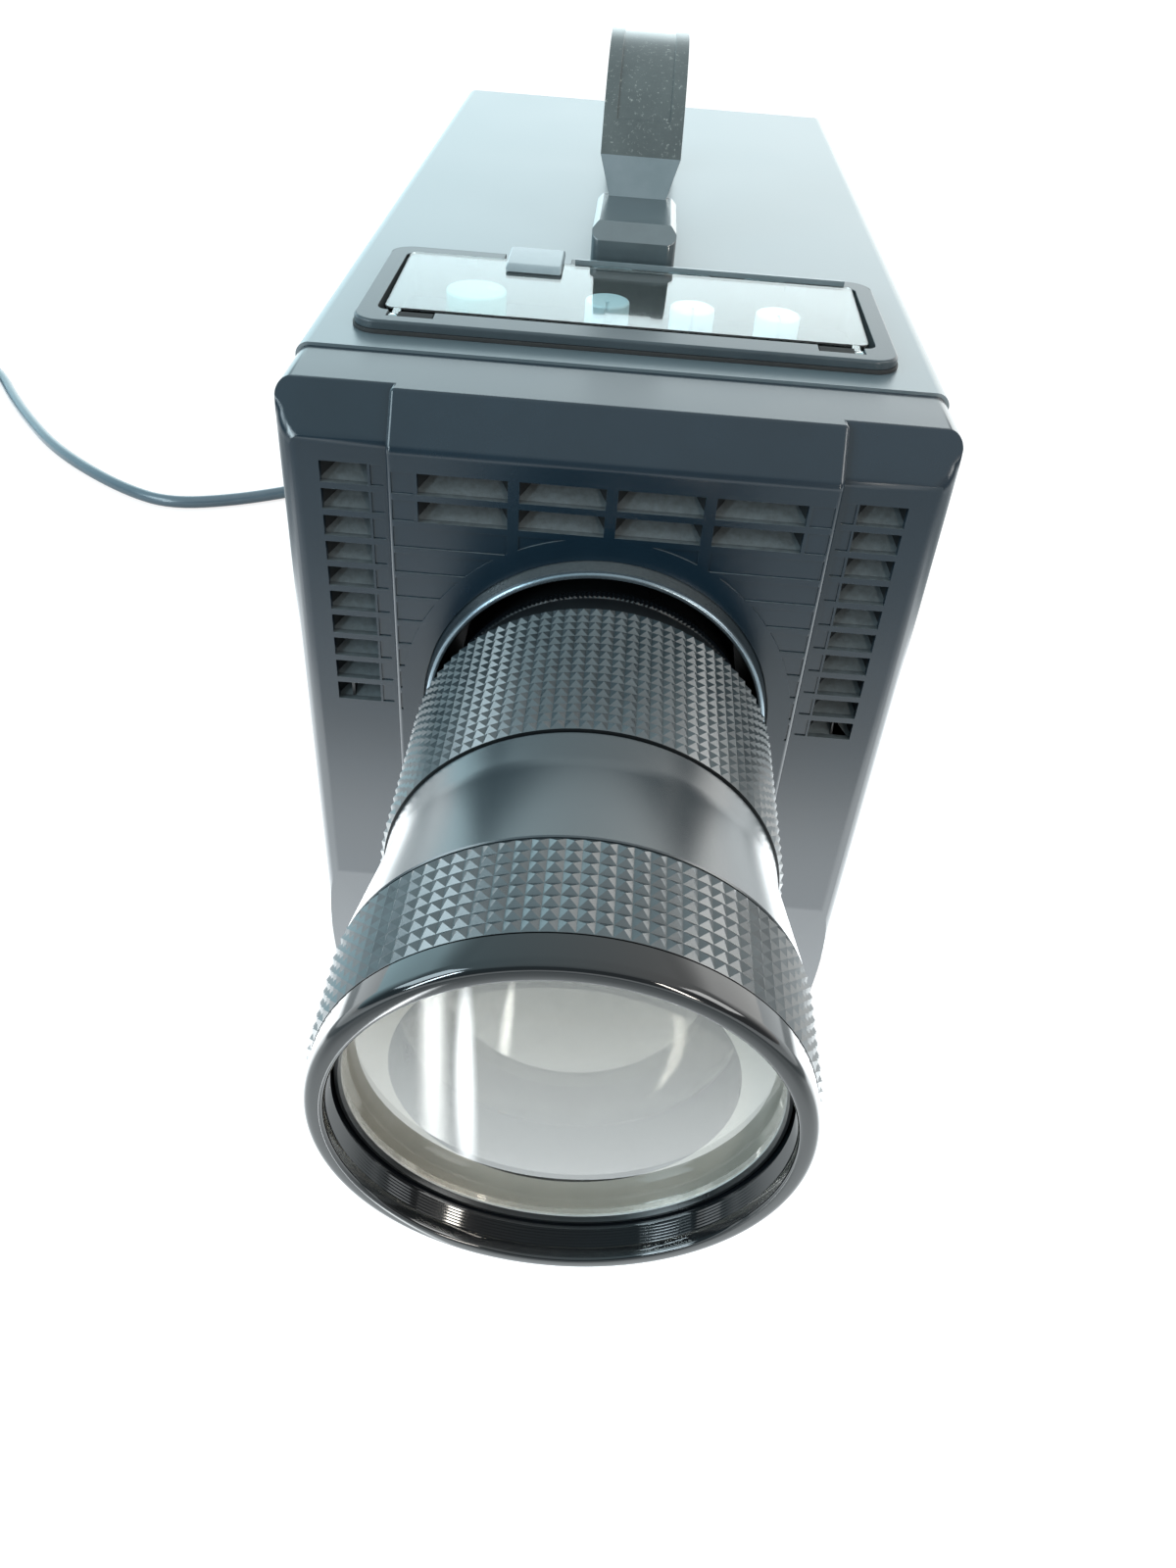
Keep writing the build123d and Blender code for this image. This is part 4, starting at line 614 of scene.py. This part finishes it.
def toothed(ring, turns, root):
    """Pushes every other column of a turned ring's outer skin in to a root radius, as fine teeth."""
    skin = bmesh.new()
    skin.from_mesh(ring.data)
    centre = mm(0, 0, LENS_Z)
    outer = max(sqrt(v.co.x ** 2 + (v.co.z - centre.z) ** 2) for v in skin.verts)
    for vertex in skin.verts:
        arm = Vector((vertex.co.x, 0, vertex.co.z - centre.z))
        column = round(atan2(arm.x, arm.z) / (2 * pi) * turns)
        if arm.length > outer - mm(0.05) and column % 2:
            vertex.co.x = arm.x * mm(root) / arm.length
            vertex.co.z = centre.z + arm.z * mm(root) / arm.length
    skin.to_mesh(ring.data)
    skin.free()


collar = lathed([(1, 58.6), (1, 68), (-1.5, 68), (-1.5, 62.5), (-4, 62.5), (-8.6, 61.5),
                 *arc(-9.2, 60.3, 1.1, 0, -90, 6), *arc(-9.4, 60.1, 0.9, -90, -180, 5), (-6, 59.0)])
done(collar, "collar_finish", "projector", collar_enamel, replaced=("lens_collar",))
# The rim's pale finish is a painted highlight.
repaint(collar, collar_rim_highlight, rim)

teeth = lathed([(-10, 54), (-10, 54.4), (-10.4, 54.9), (-13.2, 54.9), (-13.8, 54.3), (-13.8, 54)], TEETH)
teeth.data.transform(teeth.matrix_world)
teeth.matrix_world = Matrix()
toothed(teeth, TEETH, TEETH_ROOT)
done(teeth, "zoom_teeth", "zoom_ring", lip_lacquer, angle=20)

zoom_core = lathed([(-10, 52.06), (-10, 54.2), (-31.2, 54.2), (-31.2, 60.7),
                    (-93.7, 60.7), (-93.7, 52.06)])
done(zoom_core, "zoom_core_finish", "zoom_ring", black_anodised, replaced=("zoom_core",))

sleeve = lathed([(-94.2, 52), (-94.2, 59.7), (-94.5, 60), (-104, 60), (-106, 60.05), (-110, 60.5),
                 (-142.3, 65.3), (-142.7, 65), (-142.7, 52)])
done(sleeve, "sleeve_finish", "projector", barrel_enamel, replaced=("barrel_sleeve",))

thread = []
for turn in range(THREAD_TURNS):
    thread += [(-173.6 - THREAD_PITCH * turn, 59.8), (-174.05 - THREAD_PITCH * turn, 59.3)]
lip = lathed([(-143.1, 52.06), (-143.1, 64.9), (-173.7, 64.9), (-173.7, 64.5), (-174, 64.8),
              *arc(-180.7, 62.0, 2.8, 0, -90, 6), *arc(-182.3, 60.3, 1.2, -90, -180, 4), (-180.4, 59.1),
              *reversed(thread), (-172.8, 59.6), (-158.6, 59.6), (-158.6, 57.5), (-155.8, 57.5),
              (-155.8, 52.06)])
done(lip, "focus_core_finish", "focus_ring", lip_lacquer, replaced=("focus_core",))

front_cell = lathed([(-128, 45.5), (-128, 47.94), (-161, 47.94), (-161, 58.8), (-172.2, 58.8),
                     (-172.4, 58.6), (-172.4, 57.8), (-171, 57.3), (-163.5, 57.3), (-163.5, 51.8),
                     (-161.5, 45.5)])
done(front_cell, "front_cell_finish", "front_group", black_anodised, replaced=("front_cell",))
repaint(front_cell, seat_alloy, glass_seat)


def knurled(name, body, replaced, rear, front, root, tip, columns, rows):
    """A rubber grip with a grid of four-sided points."""
    grip = lathed([(rear + (front - rear) * row / rows, root) for row in range(rows + 1)], columns, False)
    edit(grip)
    bpy.ops.mesh.poke(offset=mm(tip - root), center_mode="MEDIAN_WEIGHTED")
    close()
    return done(grip, name, body, grip_rubber, angle=10, replaced=replaced)


knurled("zoom_grip_finish", "zoom_ring", ("zoom_grip",), -31.2, -93.7, 60.75, 62.1, 96, 16)
knurled("focus_grip_finish", "focus_ring", ("focus_grip",), -143.1, -173.6, 64.9, 66.1, 98, 8)


def dome(rim_depth, rim_r, bulge, rings=24):
    """Points of a spherical face, from its middle out to its rim; a positive bulge is rearward."""
    sphere = (rim_r ** 2 + bulge ** 2) / (2 * abs(bulge))
    radii = [max(rim_r * n / rings, 0.02) for n in range(rings + 1)]
    heights = [sqrt(sphere ** 2 - r ** 2) - sphere + abs(bulge) for r in radii]
    return [(rim_depth + (h if bulge > 0 else -h), r) for h, r in zip(heights, radii)]


# Lens elements
front_glass = lathed([*dome(-163.56, 57.2, -2.4), *reversed(dome(-170.6, 57.2, -4.2))])
done(front_glass, "front_glass_finish", "front_group", lens_glass, replaced=("front_glass",))
second_glass = lathed([*dome(-138, 45.4, 1.5), *reversed(dome(-144.2, 45.4, -8.6))])
done(second_glass, "second_glass_finish", "front_group", lens_glass, replaced=("second_glass",))
zoom_glass = lathed([*dome(-72, 43.9, 5), *reversed(dome(-82, 43.9, -5))])
done(zoom_glass, "zoom_glass_finish", "zoom_group", lens_glass, replaced=("zoom_glass",))
rear_glass = lathed([*dome(44, 47.9, 5), *reversed(dome(32, 47.9, -6))])
done(rear_glass, "rear_glass_finish", "projector", lens_glass, replaced=("rear_glass",))

# Stage: a pale floor under plain soft light, whose reflections carry painted light
FLOOR_SIZE = 12
FLOOR_SEEN = 0.78
# Glow that only reflections see on the floor, a painted reflection: brightest just in front of the
# object, dim further out and bright again far off, as bands with low and high ends and a strength at each
MIDDLE_BAND = (-0.6, -0.42, 0.55, 1.7)
BESIDE_BAND = (-0.4, -0.26, 0, 3.4)
NEAR_BAND = (0.79, 0.83, 0.12, 1)
FAR_BAND = (0.69, 0.73, 1.4, 0)
PAINTED_STREAK_GLOW = 26.0
bpy.ops.object.select_all(action="DESELECT")
bpy.ops.mesh.primitive_plane_add(size=FLOOR_SIZE, location=(0, 0, 0))
floor = bpy.context.object
floor.name = "floor"
floor_paint, floor_shader = new_material("floor_paint", Base_Color=colour("#8C8F90"), Roughness=0.9)
seen = add_node(floor_paint, "ShaderNodeLightPath").outputs
mirrored = combined(floor_paint, "MAXIMUM", seen["Is Glossy Ray"], seen["Is Transmission Ray"])
on_floor = add_node(floor_paint, "ShaderNodeTexCoord").outputs["Object"]
floor_axes = add_node(floor_paint, "ShaderNodeSeparateXYZ", (), [(on_floor, "Vector")])
from_lens = add_node(floor_paint, "ShaderNodeMapping",
                     {"vector_type": "TEXTURE", "Location": (0, -0.33, 0), "Scale": (3, 3, 1)},
                     [(on_floor, "Vector")])
closeness = add_node(floor_paint, "ShaderNodeTexGradient", {"gradient_type": "SPHERICAL"},
                     [(from_lens.outputs["Vector"], "Vector")]).outputs["Fac"]
floor_depth = floor_axes.outputs["Y"]
middle = eased_band(floor_paint, floor_depth, *MIDDLE_BAND)
beside = eased_band(floor_paint, floor_depth, *BESIDE_BAND)
near = eased_band(floor_paint, closeness, *NEAR_BAND)
far = eased_band(floor_paint, closeness, *FAR_BAND)
# A painted streak: a lamp's reflection, laid into the floor's glow for reflections.
painted_streak_place = add_node(floor_paint, "ShaderNodeMapping",
                        {"vector_type": "TEXTURE", "Location": (-0.069, -0.5, 0),
                         "Rotation": (0, 0, radians(-11.5)), "Scale": (0.0095, 0.17, 1)},
                        [(on_floor, "Vector")])
painted_streak = add_node(floor_paint, "ShaderNodeTexGradient", {"gradient_type": "QUADRATIC_SPHERE"},
                  [(painted_streak_place.outputs["Vector"], "Vector")]).outputs["Fac"]
table = combined(floor_paint, "MULTIPLY", combined(floor_paint, "ADD", middle, beside), near)
table = combined(floor_paint, "ADD", table, far)
table = combined(floor_paint, "ADD", table, combined(floor_paint, "MULTIPLY", painted_streak, PAINTED_STREAK_GLOW))
glow = combined(floor_paint, "ADD", combined(floor_paint, "MULTIPLY", seen["Is Camera Ray"], FLOOR_SEEN),
                combined(floor_paint, "MULTIPLY", mirrored, table))
# Reflections see the floor a cooler white, a painted tint.
cool = add_node(floor_paint, "ShaderNodeMix",
                {"data_type": "RGBA", 6: colour("#FFFBFA"), 7: colour("#F2F7F9")}, [(mirrored, "Factor")])
floor_paint.node_tree.links.new(cool.outputs[2], floor_shader.inputs["Emission Color"])
floor_paint.node_tree.links.new(glow, floor_shader.inputs["Emission Strength"])
floor.data.materials.append(floor_paint)

# Surroundings: a bright backdrop behind the object, cool on the left, and a darker room in front
BACKDROP_RISE = (0.34, 0.58, 1, 0)
BACKDROP_DEPTH = (-0.3, 0.8, 0.12, 2.5)
CEILING_RISE = (0.42, 0.6, 0, 1)
CEILING_DEPTH = (-0.9, -0.5, 0.6, 0.85)
ROOM_GLOW = 0.12
LIFT_PLAIN = 1.3
# Reflections see the surroundings a little brighter than the light they cast: a slight painted
# reflection.
LIFT_MIRRORED = 1.35
world = bpy.data.worlds.new("studio")
world.use_nodes = True
bpy.context.scene.world = world
heading = add_node(world, "ShaderNodeTexCoord").outputs["Generated"]
axes = add_node(world, "ShaderNodeSeparateXYZ", (), [(heading, "Vector")]).outputs
backdrop = combined(world, "MULTIPLY", eased_band(world, axes["Z"], *BACKDROP_RISE),
                    eased_band(world, axes["Y"], *BACKDROP_DEPTH))
ceiling = combined(world, "MULTIPLY", eased_band(world, axes["Z"], *CEILING_RISE),
                   eased_band(world, axes["Y"], *CEILING_DEPTH))
room = combined(world, "ADD", combined(world, "ADD", backdrop, ceiling), ROOM_GLOW)
world_seen = add_node(world, "ShaderNodeLightPath").outputs["Is Glossy Ray"]
lift = add_node(world, "ShaderNodeMapRange", {"To Min": LIFT_PLAIN, "To Max": LIFT_MIRRORED},
                [(world_seen, "Value")])
strength = combined(world, "MULTIPLY", room, lift.outputs["Result"])
side = add_node(world, "ShaderNodeMapRange", {"From Min": -0.7, "From Max": 0.6},
                [(axes["X"], "Value")])
tint = add_node(world, "ShaderNodeMix",
                {"data_type": "RGBA", 6: colour("#C2E6F0"), 7: colour("#F3F4F2")},
                [(side.outputs["Result"], "Factor")])
background = world.node_tree.nodes["Background"]
world.node_tree.links.new(tint.outputs[2], background.inputs["Color"])
world.node_tree.links.new(strength, background.inputs["Strength"])


def strip_light(name, place, turn, width, length, power, hex_code):
    """A long lamp at a place in metres, turned from facing down by angles in degrees."""
    bpy.ops.object.light_add(type="AREA", location=place, rotation=[radians(angle) for angle in turn])
    lamp = bpy.context.object
    lamp.name = name
    lamp.data.shape = "RECTANGLE"
    lamp.data.size = width
    lamp.data.size_y = length
    lamp.data.energy = power
    lamp.data.color = colour(hex_code)[:3]


strip_light("left_strip", (-1.5, -1.8, 0.85), (70, 0, -45), 0.14, 1.0, 22, "#E2F6FF")
strip_light("right_strip", (1.05, -2.2, 0.75), (72, 0, 30), 0.12, 0.9, 16, "#FFF8EE")
strip_light("left_box", (-1.8, -0.9, 1.3), (59, 0, -70), 1.0, 1.0, 27, "#DDF2FB")
strip_light("right_box", (1.8, -0.9, 1.3), (59, 0, 70), 0.9, 0.9, 18, "#F6F7F5")

bpy.context.scene.view_settings.view_transform = "Standard"
